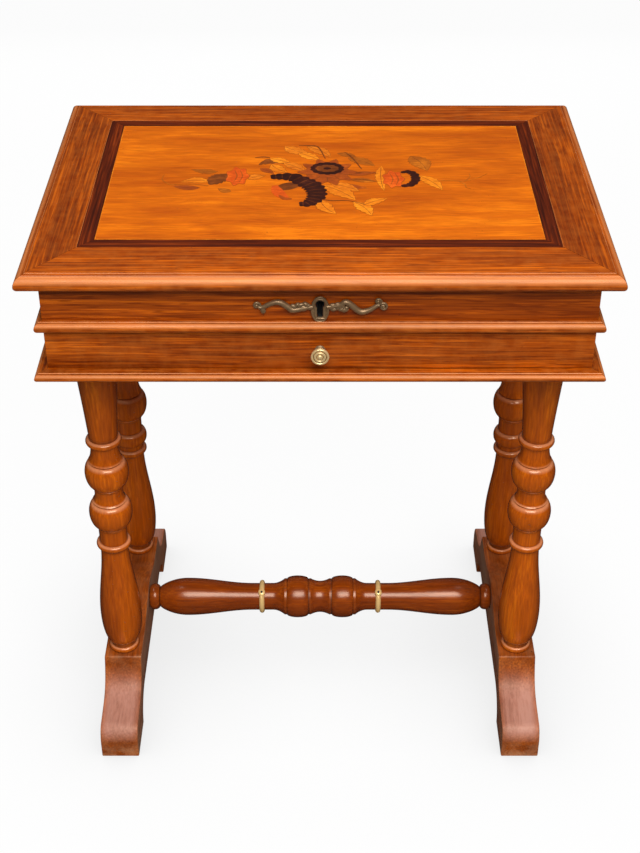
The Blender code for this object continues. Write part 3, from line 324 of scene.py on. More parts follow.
footWood = {
    "dark": (0.2, 0.036, 0.003), "light": (0.42, 0.084, 0.006), "flame": (0.54, 0.13, 0.011),
    "figure": 0.7, "streak": 0.6, "pores": 0.7, "roughness": 0.4, "specular": 0.28,
    "worn": (0.72, 0.36, 0.17), "rub": 0.85, "dirtshade": 0.8, "dents": 0.8,
    # a painted highlight: the pale reflection on the tops of the toes
    "bloom": (0.6, 0.29, 0.215), "bloomShare": 0.95, "bloomLean": (0.1, 0.62, 1.5, 2.0),
    "bloomFrom": (0.122, 0.145), "bloomLeast": 0.55, "bloomAcross": (0.248, 0.015, 0.0235),
    "flank": (0.36, 0.205, 0.125), "flankShare": 0.85, "varnish": (1.0, 0.78, 0.6),
}
liningWood = {
    "dark": (0.3, 0.16, 0.06), "light": (0.52, 0.32, 0.15), "flame": (0.6, 0.4, 0.21),
    "figure": 0.6, "streak": 0.7, "pores": 0.4, "roughness": 0.62, "specular": 0.2, "dents": 0.5,
}
inlayWoods = {  # dark, light and flame tones of the dyed and shaded veneers in the spray
    "pale": ((0.52, 0.11, 0.004), (0.76, 0.2, 0.009), (0.92, 0.32, 0.022)),
    "yellow": ((0.58, 0.125, 0.004), (0.82, 0.235, 0.008), (0.95, 0.36, 0.022)),
    "olive": ((0.28, 0.062, 0.004), (0.46, 0.115, 0.006), (0.66, 0.18, 0.01)),
    "brown": ((0.11, 0.024, 0.004), (0.22, 0.05, 0.007), (0.36, 0.09, 0.012)),
    "brick": ((0.24, 0.04, 0.005), (0.4, 0.072, 0.007), (0.6, 0.125, 0.01)),
    "red": ((0.46, 0.052, 0.004), (0.68, 0.092, 0.006), (0.86, 0.165, 0.012)),
    "dark": ((0.02, 0.004, 0.002), (0.048, 0.009, 0.005), (0.1, 0.022, 0.01)),
}
inlayLook = {
    "figure": 0.7, "streak": 0.5, "pores": 0.5, "shorten": 11.0, "roughness": 0.35, "specular": 0.2,
    "rub": 0.0, "dirtshade": 0.0, "dents": 0.2, "relief": 0.08,
}
woods = {
    "frameAlongX": ("polishedWoodAlongX", polishedWood, "alongX"),
    "frameAlongY": ("polishedWoodAlongY", sideWood, "alongY"),
    "field": ("fieldVeneer", fieldWood, "alongX"),
    "bandAlongX": ("bandVeneerAlongX", bandWood, "alongX"),
    "bandAlongY": ("bandVeneerAlongY", bandWood, "alongY"),
    "leg": ("turnedWoodAlongZ", turnedWood, "alongZ"),
    "stretcher": ("stretcherWoodAlongX", stretcherWood, "alongX"),
    "foot": ("footWoodAlongY", footWood, "alongY"),
    "liningAlongX": ("liningWoodAlongX", liningWood, "alongX"),
    "liningAlongY": ("liningWoodAlongY", liningWood, "alongY"),
}
metals = {  # name, metal, patina, its amount, roughness of the metal and of the patina, metallic value
    "bronze": ("oldBronze", (0.32, 0.195, 0.095), (0.05, 0.029, 0.014), 0.7, 0.36, 0.55, 0.5),
    "brass": ("polishedBrass", (0.9, 0.64, 0.31), (0.36, 0.21, 0.08), 0.3, 0.3, 0.48, 0.5),
    "gilt": ("giltRing", (1.0, 0.66, 0.26), (0.5, 0.27, 0.07), 0.3, 0.26, 0.45, 0.25),
    "blackIron": ("blackIron", (0.02, 0.017, 0.015), (0.008, 0.007, 0.006), 0.6, 0.5, 0.7, 0.2),
    "iron": ("dullIron", (0.3, 0.28, 0.26), (0.1, 0.075, 0.055), 0.6, 0.38, 0.65, 0.9),
}
for wood, (dark, light, flame) in inlayWoods.items():
    look = {**inlayLook, "dark": dark, "light": light, "flame": flame}
    woods[wood] = (wood + "Inlay", look, "alongX")
finishes = {key: woodFinish(*values) for key, values in woods.items()}
finishes.update({key: metalFinish(*values) for key, values in metals.items()})
print("finishes built:", len(finishes))


# small helpers for meshes
def arcPoints(centre, radii, start, end, steps):  # on an ellipse, angles in degrees
    angles = [math.radians(start + (end - start) * step / steps) for step in range(steps + 1)]
    return [(centre[0] + radii[0] * math.cos(a), centre[1] + radii[1] * math.sin(a)) for a in angles]


def smoothRoute(points, perSpan):  # a smooth curve through the given points
    spots = [Vector(point) for point in points]
    padded = [2 * spots[0] - spots[1]] + spots + [2 * spots[-1] - spots[-2]]
    route = []
    for before, start, end, after in zip(padded, padded[1:], padded[2:], padded[3:]):
        bend = 2 * before - 5 * start + 4 * end - after
        turn = 3 * (start - end) + after - before
        for step in range(perSpan):
            t = step / perSpan
            route.append(start + 0.5 * (t * (end - before) + t * t * bend + t * t * t * turn))
    return route + [spots[-1]]


def objectOf(name, shape):
    mesh = bpy.data.meshes.new(name)
    shape.to_mesh(mesh)
    shape.free()
    return newObject(name, mesh)


def moved(shape, step, verts=None):
    bmesh.ops.translate(shape, verts=verts or shape.verts, vec=step)


def placed(shape, matrix, verts=None):
    bmesh.ops.transform(shape, matrix=matrix, verts=verts or shape.verts)


def welded(shape):
    bmesh.ops.remove_doubles(shape, verts=shape.verts, dist=1e-6)


edgeMarks = {"own": 0.6, "near": 0.4}  # shares of a point's own bend and of its neighbours'


def markEdges(shape, gain):  # stores where each point stands out or lies in a hollow
    wear = shape.verts.layers.float.new("wear")
    hollow = shape.verts.layers.float.new("hollow")
    shape.normal_update()
    bends = {}
    for vert in shape.verts:
        steps = [(edge.other_vert(vert).co - vert.co).normalized() for edge in vert.link_edges]
        bends[vert] = gain * sum(vert.normal.dot(step) for step in steps) / max(1, len(steps))
    for vert in shape.verts:
        near = [bends[edge.other_vert(vert)] for edge in vert.link_edges]
        bend = edgeMarks["own"] * bends[vert] + edgeMarks["near"] * sum(near) / max(1, len(near))
        vert[wear] = min(1.0, max(0.0, -bend))
        vert[hollow] = min(1.0, max(0.0, bend))


def newPiece(name, shape, finish, body, replaced=(), gain=2.0, crease=32):
    welded(shape)
    bmesh.ops.recalc_face_normals(shape, faces=shape.faces)
    markEdges(shape, gain)
    piece = objectOf(name, shape)
    piece.data.materials.append(finishes[finish])
    piece.data.shade_smooth()
    piece.data.set_sharp_from_angle(angle=math.radians(crease))
    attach(piece, body)
    if replaced:
        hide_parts(*replaced)


def drawUp(shape, faces, depth):  # gives flat faces a thickness along Z
    drawn = bmesh.ops.extrude_face_region(shape, geom=faces)["geom"]
    moved(shape, (0, 0, depth), [part for part in drawn if isinstance(part, bmesh.types.BMVert)])


def prism(shape, outline, depth, level=0.0):  # a flat outline in XY drawn along Z
    drawUp(shape, [shape.faces.new([shape.verts.new((x, y, level)) for x, y in outline])], depth)


def boxShape(low, high):
    shape = bmesh.new()
    bmesh.ops.create_cube(shape, size=1.0)
    bmesh.ops.scale(shape, vec=Vector(high) - Vector(low), verts=shape.verts)
    moved(shape, (Vector(low) + Vector(high)) / 2)
    return shape


def softened(shape, edges, radius):
    bmesh.ops.bevel(shape, geom=edges, offset=radius, offset_type="OFFSET", segments=3, profile=0.5,
                    affect="EDGES", material=-1, clamp_overlap=True)


def discInto(shape, radius, depth, segments):
    return bmesh.ops.create_cone(shape, cap_ends=True, cap_tris=False, segments=segments, radius1=radius,
                                 radius2=radius, depth=depth)["verts"]


def ballInto(shape, size, around=18, along=10):  # an ellipsoid with these half sizes
    verts = bmesh.ops.create_uvsphere(shape, u_segments=around, v_segments=along, radius=1.0)["verts"]
    bmesh.ops.scale(shape, vec=size, verts=verts)
    return verts


def turnedShape(profile, steps=96):  # (radius, height) from top to bottom, spun round Z
    shape = bmesh.new()
    line = [shape.verts.new((radius, 0, height)) for radius, height in profile]
    edges = [shape.edges.new(pair) for pair in zip(line, line[1:])]
    bmesh.ops.spin(shape, geom=line + edges, cent=(0, 0, 0), axis=(0, 0, 1), dvec=(0, 0, 0),
                   angle=2 * math.pi, steps=steps, use_merge=True, use_duplicate=False)
    welded(shape)
    return shape


sideTurns = {"right": 0.0, "back": math.pi / 2, "left": math.pi, "front": -math.pi / 2}
upright = Matrix.Rotation(math.pi / 2, 4, "X")  # turns what was drawn in XY to face the front
hands = (("Left", -1), ("Right", 1))


def sideFinish(side):
    return "frameAlongX" if side in ("front", "back") else "frameAlongY"


def sideStrip(section, run, mitres, side, distance, height, gap=0.0003):
    # section of (outward, up) drawn along one side of the table, each end cut to its own mitre
    shape = bmesh.new()
    prism(shape, section, run)
    for vert in shape.verts:
        farEnd = vert.co.z > run / 2
        reach = mitres[farEnd](vert.co.x) - gap / 2
        vert.co.z += (reach if farEnd else -reach) - run / 2
    turn = sideTurns[side]
    place = Vector((distance * math.cos(turn), distance * math.sin(turn), height))
    placed(shape, Matrix.Translation(place) @ Matrix.Rotation(turn, 4, "Z") @ upright)
    return shape


def squareMitre(outward):
    return outward


def addEvaluated(shape, thing):  # adds an object's final mesh to the shape
    bpy.context.view_layer.update()
    evaluated = thing.evaluated_get(bpy.context.evaluated_depsgraph_get())
    shape.from_mesh(evaluated.to_mesh())
    evaluated.to_mesh_clear()


def carved(shape, cutter):  # the shape with the cutter's room taken out
    pair = []
    for part in (shape, cutter):
        bmesh.ops.recalc_face_normals(part, faces=part.faces)
        pair.append(objectOf("carving", part))
    setAll(pair[0].modifiers.new("cut", "BOOLEAN"), object=pair[1], solver="EXACT")
    result = bmesh.new()
    addEvaluated(result, pair[0])
    for part in pair:
        mesh = part.data
        bpy.data.objects.remove(part, do_unlink=True)
        bpy.data.meshes.remove(mesh)
    return result


# lid frame: flat members with a quirked ovolo edge
lid = {
    "width": 0.6, "depth": 0.433, "thickness": 0.0165, "level": 0.6695,
    "front": 0.064, "back": 0.0555, "side": 0.055,
    "edgeInset": 0.01, "quirk": 0.001, "under": 0.0055, "tuck": 0.005, "mitreGap": 0.0006,
    "arris": 0.0003, "flatStart": 0.001, "flatEnd": 0.0015, "quirkLip": 0.0008, "quirkSide": 0.0002,
}
lidTop = lid["level"] + lid["thickness"]


def lidSection(width):
    top, inset, under, arris = lid["thickness"], lid["edgeInset"], lid["under"], lid["arris"]
    section = [(-width, 0), (-width, top - arris), (-width + arris, top)]
    section += [(-width + lid["flatStart"], top), (-inset - lid["flatEnd"], top)]  # keeps the top flat
    section += [(-inset - lid["quirkLip"], top), (-inset - lid["quirkSide"], top - arris)]
    section += arcPoints((-inset, under), (inset, top - lid["quirk"] - under), 90, 0, 18)
    return section + arcPoints((-lid["tuck"], under), (lid["tuck"], under), 0, -90, 10)[1:]


def lidMitre(ownWidth, nextWidth):
    edge = lid["edgeInset"]

    def shift(outward):
        if -outward <= edge:
            return outward
        return -edge - (-outward - edge) / (ownWidth - edge) * (nextWidth - edge)

    return shift


# rooms under the lid for the strike plate, the bolt and the two hinges, all open below
hinge = {
    "places": (-0.19, 0.19), "half": 0.0228, "axisY": 0.1992, "axisZ": 0.66935, "leafEnd": 0.1854,
    "roof": 0.671, "relief": 0.0034,
}
roomFloor = 0.6
lockRooms = [  # low corner, high corner and roof
    ((-0.0223, -0.1921), (0.0223, -0.1755), 0.6713),
    ((-0.01, -0.1873), (0.01, -0.1803), 0.6765),
]
lidCuts = {"front": [boxShape((*low, roomFloor), (*high, roof)) for low, high, roof in lockRooms], "back": []}
for place in hinge["places"]:
    low = (place - hinge["half"], hinge["leafEnd"], roomFloor)
    high = (place + hinge["half"], hinge["axisY"], hinge["roof"])
    relief = bmesh.new()
    discInto(relief, hinge["relief"], 2 * hinge["half"], 32)
    bmesh.ops.rotate(relief, verts=relief.verts, matrix=Matrix.Rotation(math.pi / 2, 3, "Y"))
    moved(relief, (place, hinge["axisY"], hinge["axisZ"]))
    lidCuts["back"] += [boxShape(low, high), relief]

members = {  # width, run and distance from the middle
    "front": (lid["front"], lid["width"], lid["depth"] / 2),
    "right": (lid["side"], lid["depth"], lid["width"] / 2),
    "back": (lid["back"], lid["width"], lid["depth"] / 2),
    "left": (lid["side"], lid["depth"], lid["width"] / 2),
}
order = list(members)
for index, side in enumerate(order):
    width, run, distance = members[side]
    mitres = [lidMitre(width, members[order[(index + way) % 4]][0]) for way in (1, -1)]
    strip = sideStrip(lidSection(width), run, mitres, side, distance, lid["level"], lid["mitreGap"])
    for cutter in lidCuts.get(side, []):
        strip = carved(strip, cutter)
    newPiece("lidFrame" + side.title(), strip, sideFinish(side), "lid", ["lid_frame_" + side], gain=1.2)
print("lid frame done")


# lid panel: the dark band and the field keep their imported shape, pale stringing lies along the inner edge of the band
def dress(finish, *names):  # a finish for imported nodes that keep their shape
    for name in names:
        nodes[name].data.materials.clear()
        nodes[name].data.materials.append(finishes[finish])


dress("bandAlongX", "lid_band_front", "lid_band_back")
dress("bandAlongY", "lid_band_left", "lid_band_right")
dress("field", "lid_field")
dress("liningAlongX", "lid_panel", "compartment_floor", "drawer_back", "drawer_bottom")
dress("liningAlongY", "drawer_left", "drawer_right")
dress("frameAlongX", "case_front", "case_back", "case_bottom")
dress("frameAlongY", "case_left", "case_right")
dress("brass", "lock_selvage", "lid_strike_plate", "lock_bolt", "hinge_left_pin", "hinge_right_pin")
dress("brass", *["hinge_" + side + "_" + part + "_leaf" for side in ("left", "right") for part in ("case", "lid")])
dress("iron", "knob_screw")
# the lock case's black iron also gives the keyhole its dark inside, partly painted shade
dress("blackIron", "lock_case")

stringing = {"width": 0.0009, "stand": 0.00012}
fieldLow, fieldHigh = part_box("lid_field")
shape = bmesh.new()
rounds = []
for inset in (0.0, stringing["width"]):
    left, right = fieldLow[0] + inset, fieldHigh[0] - inset
    near, far = fieldLow[1] + inset, fieldHigh[1] - inset
    corners = [(left, near), (right, near), (right, far), (left, far)]
    rounds.append([shape.verts.new((x, y, lidTop - stringing["stand"])) for x, y in corners])
outer, inner = rounds
for index in range(4):
    shape.faces.new((outer[index - 1], outer[index], inner[index], inner[index - 1]))
drawUp(shape, shape.faces[:], 2 * stringing["stand"])
newPiece("lidStringing", shape, "pale", "lid")


# marquetry: veneers of a flower spray, one piece for each wood, each veneer a hair above the ones laid before it
spray = {
    "stand": 0.0001, "step": 0.0000015, "sink": 0.0001, "vein": 0.0003, "line": 0.0004, "least": 0.0001,
    "tooth": 0.25, "fullness": 0.8, "scallop": 0.1, "petalPower": 1.5, "faintStems": 0.11,
}
inlays = {wood: bmesh.new() for wood in inlayWoods}
laid = []


def inlay(wood, outline, lined=False):
    if lined:  # a thin dark line round it
        middle = sum((Vector(spot) for spot in outline), Vector((0, 0))) / len(outline)
        inlay("brown", [Vector(spot) + (Vector(spot) - middle).normalized() * spray["line"] for spot in outline])
    level = lidTop + spray["stand"] + len(laid) * spray["step"]
    laid.append(wood)
    prism(inlays[wood], outline, lidTop - spray["sink"] - level, level)


def ribbon(wood, points, lumps=0, bite=0.3, perSpan=10):  # through (x, y, half width), lumpy on both edges
    route = smoothRoute(points, perSpan)
    left, right = [], []
    for index, spot in enumerate(route):
        ahead = (route[min(index + 1, len(route) - 1)] - route[max(index - 1, 0)]).xy
        half = max(spot.z, spray["least"])
        half *= 1 - bite * (1 - abs(math.sin(math.pi * lumps * index / len(route)))) * (lumps > 0)
        reach = Vector((-ahead.y, ahead.x)).normalized() * half
        left.append(spot.xy + reach)
        right.append(spot.xy - reach)
    inlay(wood, left + right[::-1])
    return route


def leaf(wood, base, tip, half, bend=0.0, teeth=0, steps=40):  # with a line round it and a midrib
    base, tip = Vector(base), Vector(tip)
    along = tip - base
    side = Vector((-along.y, along.x)).normalized()

    def midrib(share):
        return base + along * share + side * (4 * bend * share * (1 - share))

    left, right = [], []
    for step in range(steps + 1):
        share = step / steps
        swelling = max(half * math.sin(math.pi * share ** spray["fullness"]), spray["least"])
        reach = side * (swelling * (1 - spray["tooth"] * (share * teeth % 1)))
        left.append(midrib(share) + reach)
        right.append(midrib(share) - reach)
    inlay(wood, left + right[::-1], lined=True)
    ribbon("brown", [(*midrib(share), spray["vein"]) for share in (0.05, 0.35, 0.65, 0.92)])


def rosette(centre, radii, steps, reachAt):  # an oval whose reach changes with the angle
    outline = []
    for step in range(steps):
        angle = 2 * math.pi * step / steps
        reach = reachAt(angle)
        outline.append((centre[0] + radii[0] * reach * math.cos(angle), centre[1] + radii[1] * reach * math.sin(angle)))
    return outline


def oval(wood, centre, radii, scallops):
    inlay(wood, rosette(centre, radii, 60, lambda angle: 1 + spray["scallop"] * abs(math.sin(scallops * angle / 2))))


def star(wood, centre, radii, points, depth):  # a flower of pointed petals
    def reachAt(angle):
        return 1 - depth * abs(math.sin(points * angle / 2)) ** spray["petalPower"]

    inlay(wood, rosette(centre, radii, 8 * points, reachAt), lined=True)


sprayLeaves = [  # wood, base, tip, half width, bend and teeth
    ("olive", (-0.113, 0.022), (-0.142, 0.028), 0.006, 0.002, 4),
    ("yellow", (-0.12, -0.003), (-0.152, -0.005), 0.0075, -0.005, 4),
    ("brick", (-0.13, -0.018), (-0.16, -0.013), 0.005, 0.002, 0),
    ("olive", (-0.096, -0.027), (-0.11, -0.02), 0.0045, 0.001, 0),
    ("brown", (-0.12, -0.01), (-0.096, 0.018), 0.0115, 0.003, 7),
    ("pale", (-0.078, 0.004), (-0.06, 0.012), 0.007, 0.002, 4),
    ("brown", (-0.068, 0.04), (-0.04, 0.042), 0.007, 0.008, 4),
    ("yellow", (-0.056, 0.056), (-0.032, 0.043), 0.007, 0.001, 4),
    ("yellow", (-0.054, 0.04), (-0.036, 0.02), 0.0085, -0.002, 5),
    ("pale", (-0.04, 0.044), (-0.016, 0.022), 0.008, 0.002, 4),
    ("brick", (-0.066, 0.03), (-0.051, 0.017), 0.0046, 0.001, 0),
    ("pale", (-0.04, 0.088), (-0.012, 0.068), 0.0095, -0.002, 5),
    ("yellow", (-0.024, 0.07), (0.000, 0.05), 0.008, 0.002, 4),
    ("pale", (-0.014, 0.088), (0.012, 0.06), 0.0085, 0.003, 5),
    ("olive", (0.02, 0.07), (0.041, 0.06), 0.0055, 0.001, 4),
    ("olive", (0.032, 0.058), (0.061, 0.036), 0.0085, 0.002, 6),
    ("brown", (-0.048, -0.022), (-0.016, -0.006), 0.008, 0.001, 0),
    ("brick", (0.032, 0.014), (0.064, 0.02), 0.0044, 0.001, 0),
    ("olive", (0.034, 0.002), (0.062, -0.003), 0.005, 0.001, 0),
    ("brick", (0.023, -0.011), (0.05, -0.018), 0.0056, -0.002, 0),
    ("yellow", (0.068, 0.036), (0.069, -0.026), 0.0065, -0.002, 6),
    ("olive", (0.102, 0.062), (0.118, 0.024), 0.0125, 0.003, 8),
    ("yellow", (0.108, 0.012), (0.132, -0.024), 0.0085, 0.003, 5),
    ("yellow", (0.004, -0.012), (0.038, -0.048), 0.012, 0.003, 6),
    ("pale", (0.012, -0.008), (0.042, -0.026), 0.0085, 0.002, 5),
    ("yellow", (0.000, -0.048), (0.017, -0.08), 0.0095, -0.003, 5),
    ("yellow", (0.036, -0.052), (0.054, -0.084), 0.009, 0.003, 5),
    ("yellow", (0.046, -0.06), (0.072, -0.044), 0.0075, 0.002, 4),
]
for values in sprayLeaves:
    leaf(*values)

sprayStems = [  # stems, twigs and tendrils through (x, y, half width)
    [(-0.155, -0.01, 0.0004), (-0.14, -0.009, 0.0007), (-0.121, -0.013, 0.0009)],
    [(-0.171, 0.015, 0.0003), (-0.172, 0.002, 0.0006), (-0.163, -0.01, 0.0007), (-0.155, -0.01, 0.0006)],
    [(-0.073, 0.058, 0.0005), (-0.064, 0.06, 0.0012), (-0.056, 0.058, 0.0008)],
    [(-0.024, 0.091, 0.0005), (-0.012, 0.09, 0.0012), (-0.002, 0.086, 0.0009), (0.006, 0.056, 0.0006)],
    [(0.028, 0.073, 0.0004), (0.036, 0.058, 0.0008), (0.046, 0.029, 0.0006)],
    [(0.036, 0.018, 0.0006), (0.05, 0.02, 0.0007), (0.064, 0.018, 0.0004)],
    [(0.035, 0.004, 0.0006), (0.048, 0.002, 0.0007), (0.061, -0.002, 0.0004)],
    [(0.123, -0.002, 0.0008), (0.14, 0.000, 0.0008), (0.157, -0.002, 0.0007), (0.172, 0.006, 0.0006),
     (0.184, 0.017, 0.0003)],
    [(0.157, -0.002, 0.0006), (0.164, 0.008, 0.0006), (0.164, 0.018, 0.0003)],
    [(0.15, -0.001, 0.0006), (0.157, -0.009, 0.0007), (0.158, -0.017, 0.0006), (0.163, -0.021, 0.0003)],
    [(-0.002, -0.044, 0.0007), (0.012, -0.049, 0.0008), (0.03, -0.049, 0.0007), (0.048, -0.058, 0.0006)],
]
for points in sprayStems:
    ribbon("olive" if abs(points[0][0]) > spray["faintStems"] else "brown", points)

# left flower, right flower and the open flower in the middle
flower = {"left": (-0.0905, 0.0105), "right": (0.08, 0.003), "centre": (0.008, 0.021), "eye": (0.008, 0.03),
          "seams": (-0.0035, 0.0025), "seamReach": 0.015, "seamBend": 0.003, "petals": 10}
star("red", flower["left"], (0.0135, 0.024), 7, 0.22)
star("red", flower["right"], (0.0125, 0.0225), 7, 0.22)
reach, bend, petals = flower["seamReach"], flower["seamBend"], flower["petals"]
for name in ("left", "right"):
    x, y = flower[name]
    for shift in flower["seams"]:
        ribbon("brick", [(x + shift, y - reach, 0.0003), (x + shift + bend, y, 0.0008), (x + shift, y + reach, 0.0003)])
star("brick", flower["centre"], (0.033, 0.0345), petals, 0.3)
for number in range(petals):  # seams between the petals
    angle = math.pi * (2 * number + 1) / petals
    spots = [(flower["centre"][0] + reach * math.cos(angle), flower["centre"][1] + reach * math.sin(angle), half)
             for reach, half in ((0.014, 0.0005), (0.024, 0.0003))]
    ribbon("brown", spots, perSpan=1)
oval("dark", flower["eye"], (0.0175, 0.015), 14)
oval("brown", flower["eye"], (0.012, 0.0085), 9)
oval("dark", flower["eye"], (0.004, 0.003), 6)

# great dark frond, the bud below it, and the dark crescent beside the right flower
frondLobes = 15
frond = ribbon("dark", [(-0.054, 0.0085, 0.0052), (-0.044, 0.0095, 0.008), (-0.03, 0.008, 0.0104),
                        (-0.018, -0.003, 0.012), (-0.009, -0.013, 0.0128), (-0.0045, -0.024, 0.0122),
                        (-0.0035, -0.036, 0.0114), (-0.007, -0.048, 0.0098), (-0.014, -0.056, 0.0078),
                        (-0.022, -0.057, 0.0046)], lumps=frondLobes, bite=0.28)
for number in range(1, frondLobes):  # seams between its lobes
    index = round(number * len(frond) / frondLobes)
    ahead = (frond[index + 1] - frond[index - 1]).xy.normalized() * frond[index].z * 0.6
    x, y = frond[index].xy
    ribbon("brown", [(x - ahead.y, y + ahead.x, 0.0001), (x, y, 0.0003), (x + ahead.y, y - ahead.x, 0.0001)])
ribbon("red", [(-0.049, -0.013, 0.003), (-0.0465, -0.024, 0.0062), (-0.042, -0.035, 0.0062),
               (-0.035, -0.044, 0.003)])
ribbon("brick", [(-0.044, -0.036, 0.001), (-0.038, -0.044, 0.003), (-0.03, -0.045, 0.001)])
ribbon("dark", [(0.088, -0.014, 0.0026), (0.0975, -0.011, 0.005), (0.103, -0.003, 0.0052),
                (0.1045, 0.006, 0.0056), (0.103, 0.016, 0.0052), (0.097, 0.0215, 0.0046),
                (0.089, 0.02, 0.0018)], lumps=9, bite=0.3)
for wood, shape in inlays.items():
    newPiece(wood + "Veneers", shape, wood, "lid")
print("marquetry done")


# mouldings: a fillet over a bead, mitred round the foot of the upper tier and round the bottom board
mouldings = {
    "midMoulding": {"node": "mid_moulding", "level": 0.614, "height": 0.0126, "reach": 0.0077,
                    "fillet": 0.0014, "filletReach": 0.0036, "arris": 0.0005},
    "baseMoulding": {"node": "base_moulding", "level": 0.559, "height": 0.0098, "reach": 0.0126,
                     "fillet": 0.0016, "filletReach": 0.009, "arris": 0.0005},
}
caseHalf = {"x": 0.2798, "y": 0.1963}  # faces that the mouldings are planted on


def beadSection(look):
    top, out, arris = look["height"], look["filletReach"], look["arris"]
    step = top - look["fillet"]
    half = step / 2
    flat = look["reach"] - half
    section = [(0, 0), (0, top), (out - arris, top), (out, top - arris), (out, step)]
    bead = arcPoints((flat, half), (half, half), 90, -90, 20)
    return section + (bead if out < flat else [(flat, step)] + bead[1:])


for name, look in mouldings.items():
    for side in sideTurns:
        across, out = ("x", "y") if side in ("front", "back") else ("y", "x")
        strip = sideStrip(beadSection(look), 2 * caseHalf[across], (squareMitre, squareMitre),
                          side, caseHalf[out], look["level"])
        newPiece(name + side.title(), strip, sideFinish(side), "table",
                 [look["node"] + "_" + side], gain=1.4)
print("mouldings done")


# drawer front: a flush board with softened arrises
drawer = {"low": (-0.2795, -0.196, 0.5694), "high": (0.2795, -0.178, 0.6134), "soften": 0.0007}
board = boxShape(drawer["low"], drawer["high"])
softened(board, board.edges[:], drawer["soften"])
newPiece("drawerBoard", board, "frameAlongX", "drawer", ["drawer_front"], crease=20)
print("drawer front done")


# curves for the turner's profiles, each a run of (radius, height) from top to bottom
def evenRun(top, bottom, steps, radiusAt):
    shares = [step / steps for step in range(steps + 1)]
    return [(radiusAt(share), top + (bottom - top) * share) for share in shares]


def swell(top, bottom, endRadius, middleRadius, steps=24):
    centre = (endRadius, (top + bottom) / 2)
    return arcPoints(centre, (middleRadius - endRadius, (top - bottom) / 2), 90, -90, steps)


def cove(top, bottom, topRadius, waistRadius, bottomRadius, waistShare, steps=16):
    def radiusAt(share):
        if share < waistShare:
            return waistRadius + (topRadius - waistRadius) * (1 - share / waistShare) ** 2
        return waistRadius + (bottomRadius - waistRadius) * ((share - waistShare) / (1 - waistShare)) ** 2

    return evenRun(top, bottom, steps, radiusAt)


def vase(top, bottom, topRadius, bellyRadius, bottomRadius, bellyShare, steps=40, bluntness=0.5):
    def radiusAt(share):
        if share < bellyShare:
            return topRadius + (bellyRadius - topRadius) * (0.5 - 0.5 * math.cos(math.pi * share / bellyShare))
        drop = (share - bellyShare) / (1 - bellyShare)
        return bottomRadius + (bellyRadius - bottomRadius) * max(0.0, 1 - drop * drop) ** bluntness

    return evenRun(top, bottom, steps, radiusAt)


# legs: the rear pair is turned to a pattern of its own above the vase
leg = {
    "placeX": 0.248, "placeY": 0.096, "shoulder": 0.5587, "seat": 0.0883,
    "topRadius": 0.0285, "hollow": 1.15, "neck": 0.0167, "waist": 0.016, "neckEnd": 0.0015,
    "lip": 0.0201, "lipRise": 0.0006, "groove": 0.0016, "grooveDepth": 0.0008, "crown": 0.0184,
    "ball": 0.0256, "ballRise": 0.0016, "ballHalf": 0.0176, "ballEnd": 0.0168, "bead": 0.0184, "beadHeight": 0.0032,
    "ring": 0.0208, "ringHalf": 0.0042, "vaseTop": 0.0165, "belly": 0.0253, "bellyShare": 0.7, "vaseFoot": 0.0158,
    "baseRing": 0.0188, "baseRingTop": 0.0958, "vaseEnd": 0.1018,
    "frontRing": 0.408, "upperBall": 0.3616, "lowerBall": 0.3034, "vaseRing": 0.257,
    "rearRing": 0.386, "rearBall": 0.328, "rearBead": 0.278, "rearBeadHalf": 0.0095, "rearBeadRadius": 0.0222,
}
neck, waist, lip, ballEnd, vaseFoot = (leg[key] for key in ("neck", "waist", "lip", "ballEnd", "vaseFoot"))
ringHalf, ballHalf, seat, baseRingTop = (leg[key] for key in ("ringHalf", "ballHalf", "seat", "baseRingTop"))


def legRing(height):
    return swell(height + ringHalf, height - ringHalf, neck, leg["ring"], 14)


def legBall(height):  # a lip, a groove under it, the ball, and a bead below the ball
    low = height - ballHalf
    widest = height + leg["ballRise"]
    lipEnd = height + ballHalf + leg["groove"] / 2
    crownTop = height + ballHalf - leg["groove"] / 2
    crown, ball = leg["crown"], leg["ball"]
    deep = crown - leg["grooveDepth"]
    points = [(lip, lipEnd + leg["lipRise"]), (lip - leg["lipRise"] / 2, lipEnd), (deep, lipEnd), (deep, crownTop)]
    points += arcPoints((crown, widest), (ball - crown, crownTop - widest), 90, 0, 14)
    points += arcPoints((ballEnd, widest), (ball - ballEnd, widest - low), 0, -90, 20)[1:]
    return points + swell(low, low - leg["beadHeight"], ballEnd, leg["bead"], 8)[1:]


def ballFoot(height):
    return height - ballHalf - leg["beadHeight"]


def legHead(ring, ball, waistShare):  # shoulder, hollow trumpet, ring and the neck above the first ball
    trumpet = evenRun(leg["shoulder"], ring + ringHalf, 28,
                      lambda share: neck + (leg["topRadius"] - neck) * (1 - share) ** leg["hollow"])[:-1]
    head = [(0, leg["shoulder"])] + trumpet + legRing(ring)
    return head + cove(ring - ringHalf, ball + ballHalf, waist, waist, lip, waistShare)[:-2] + legBall(ball)


vaseRingTop = leg["vaseRing"] + ringHalf
legTail = legRing(leg["vaseRing"])
legTail += vase(leg["vaseRing"] - ringHalf, leg["vaseEnd"], leg["vaseTop"], leg["belly"], vaseFoot,
                leg["bellyShare"], 48)
legTail += [(vaseFoot, baseRingTop)] + swell(baseRingTop, seat, vaseFoot, leg["baseRing"], 12) + [(0, seat)]

upper, lower = leg["upperBall"], leg["lowerBall"]
frontLeg = legHead(leg["frontRing"], upper, 0.2)
frontLeg += cove(ballFoot(upper), lower + ballHalf, neck, neck, lip, 0.4)[:-2] + legBall(lower)
frontLeg += cove(ballFoot(lower), vaseRingTop, ballEnd, neck, neck, 0.6)[1:-1]

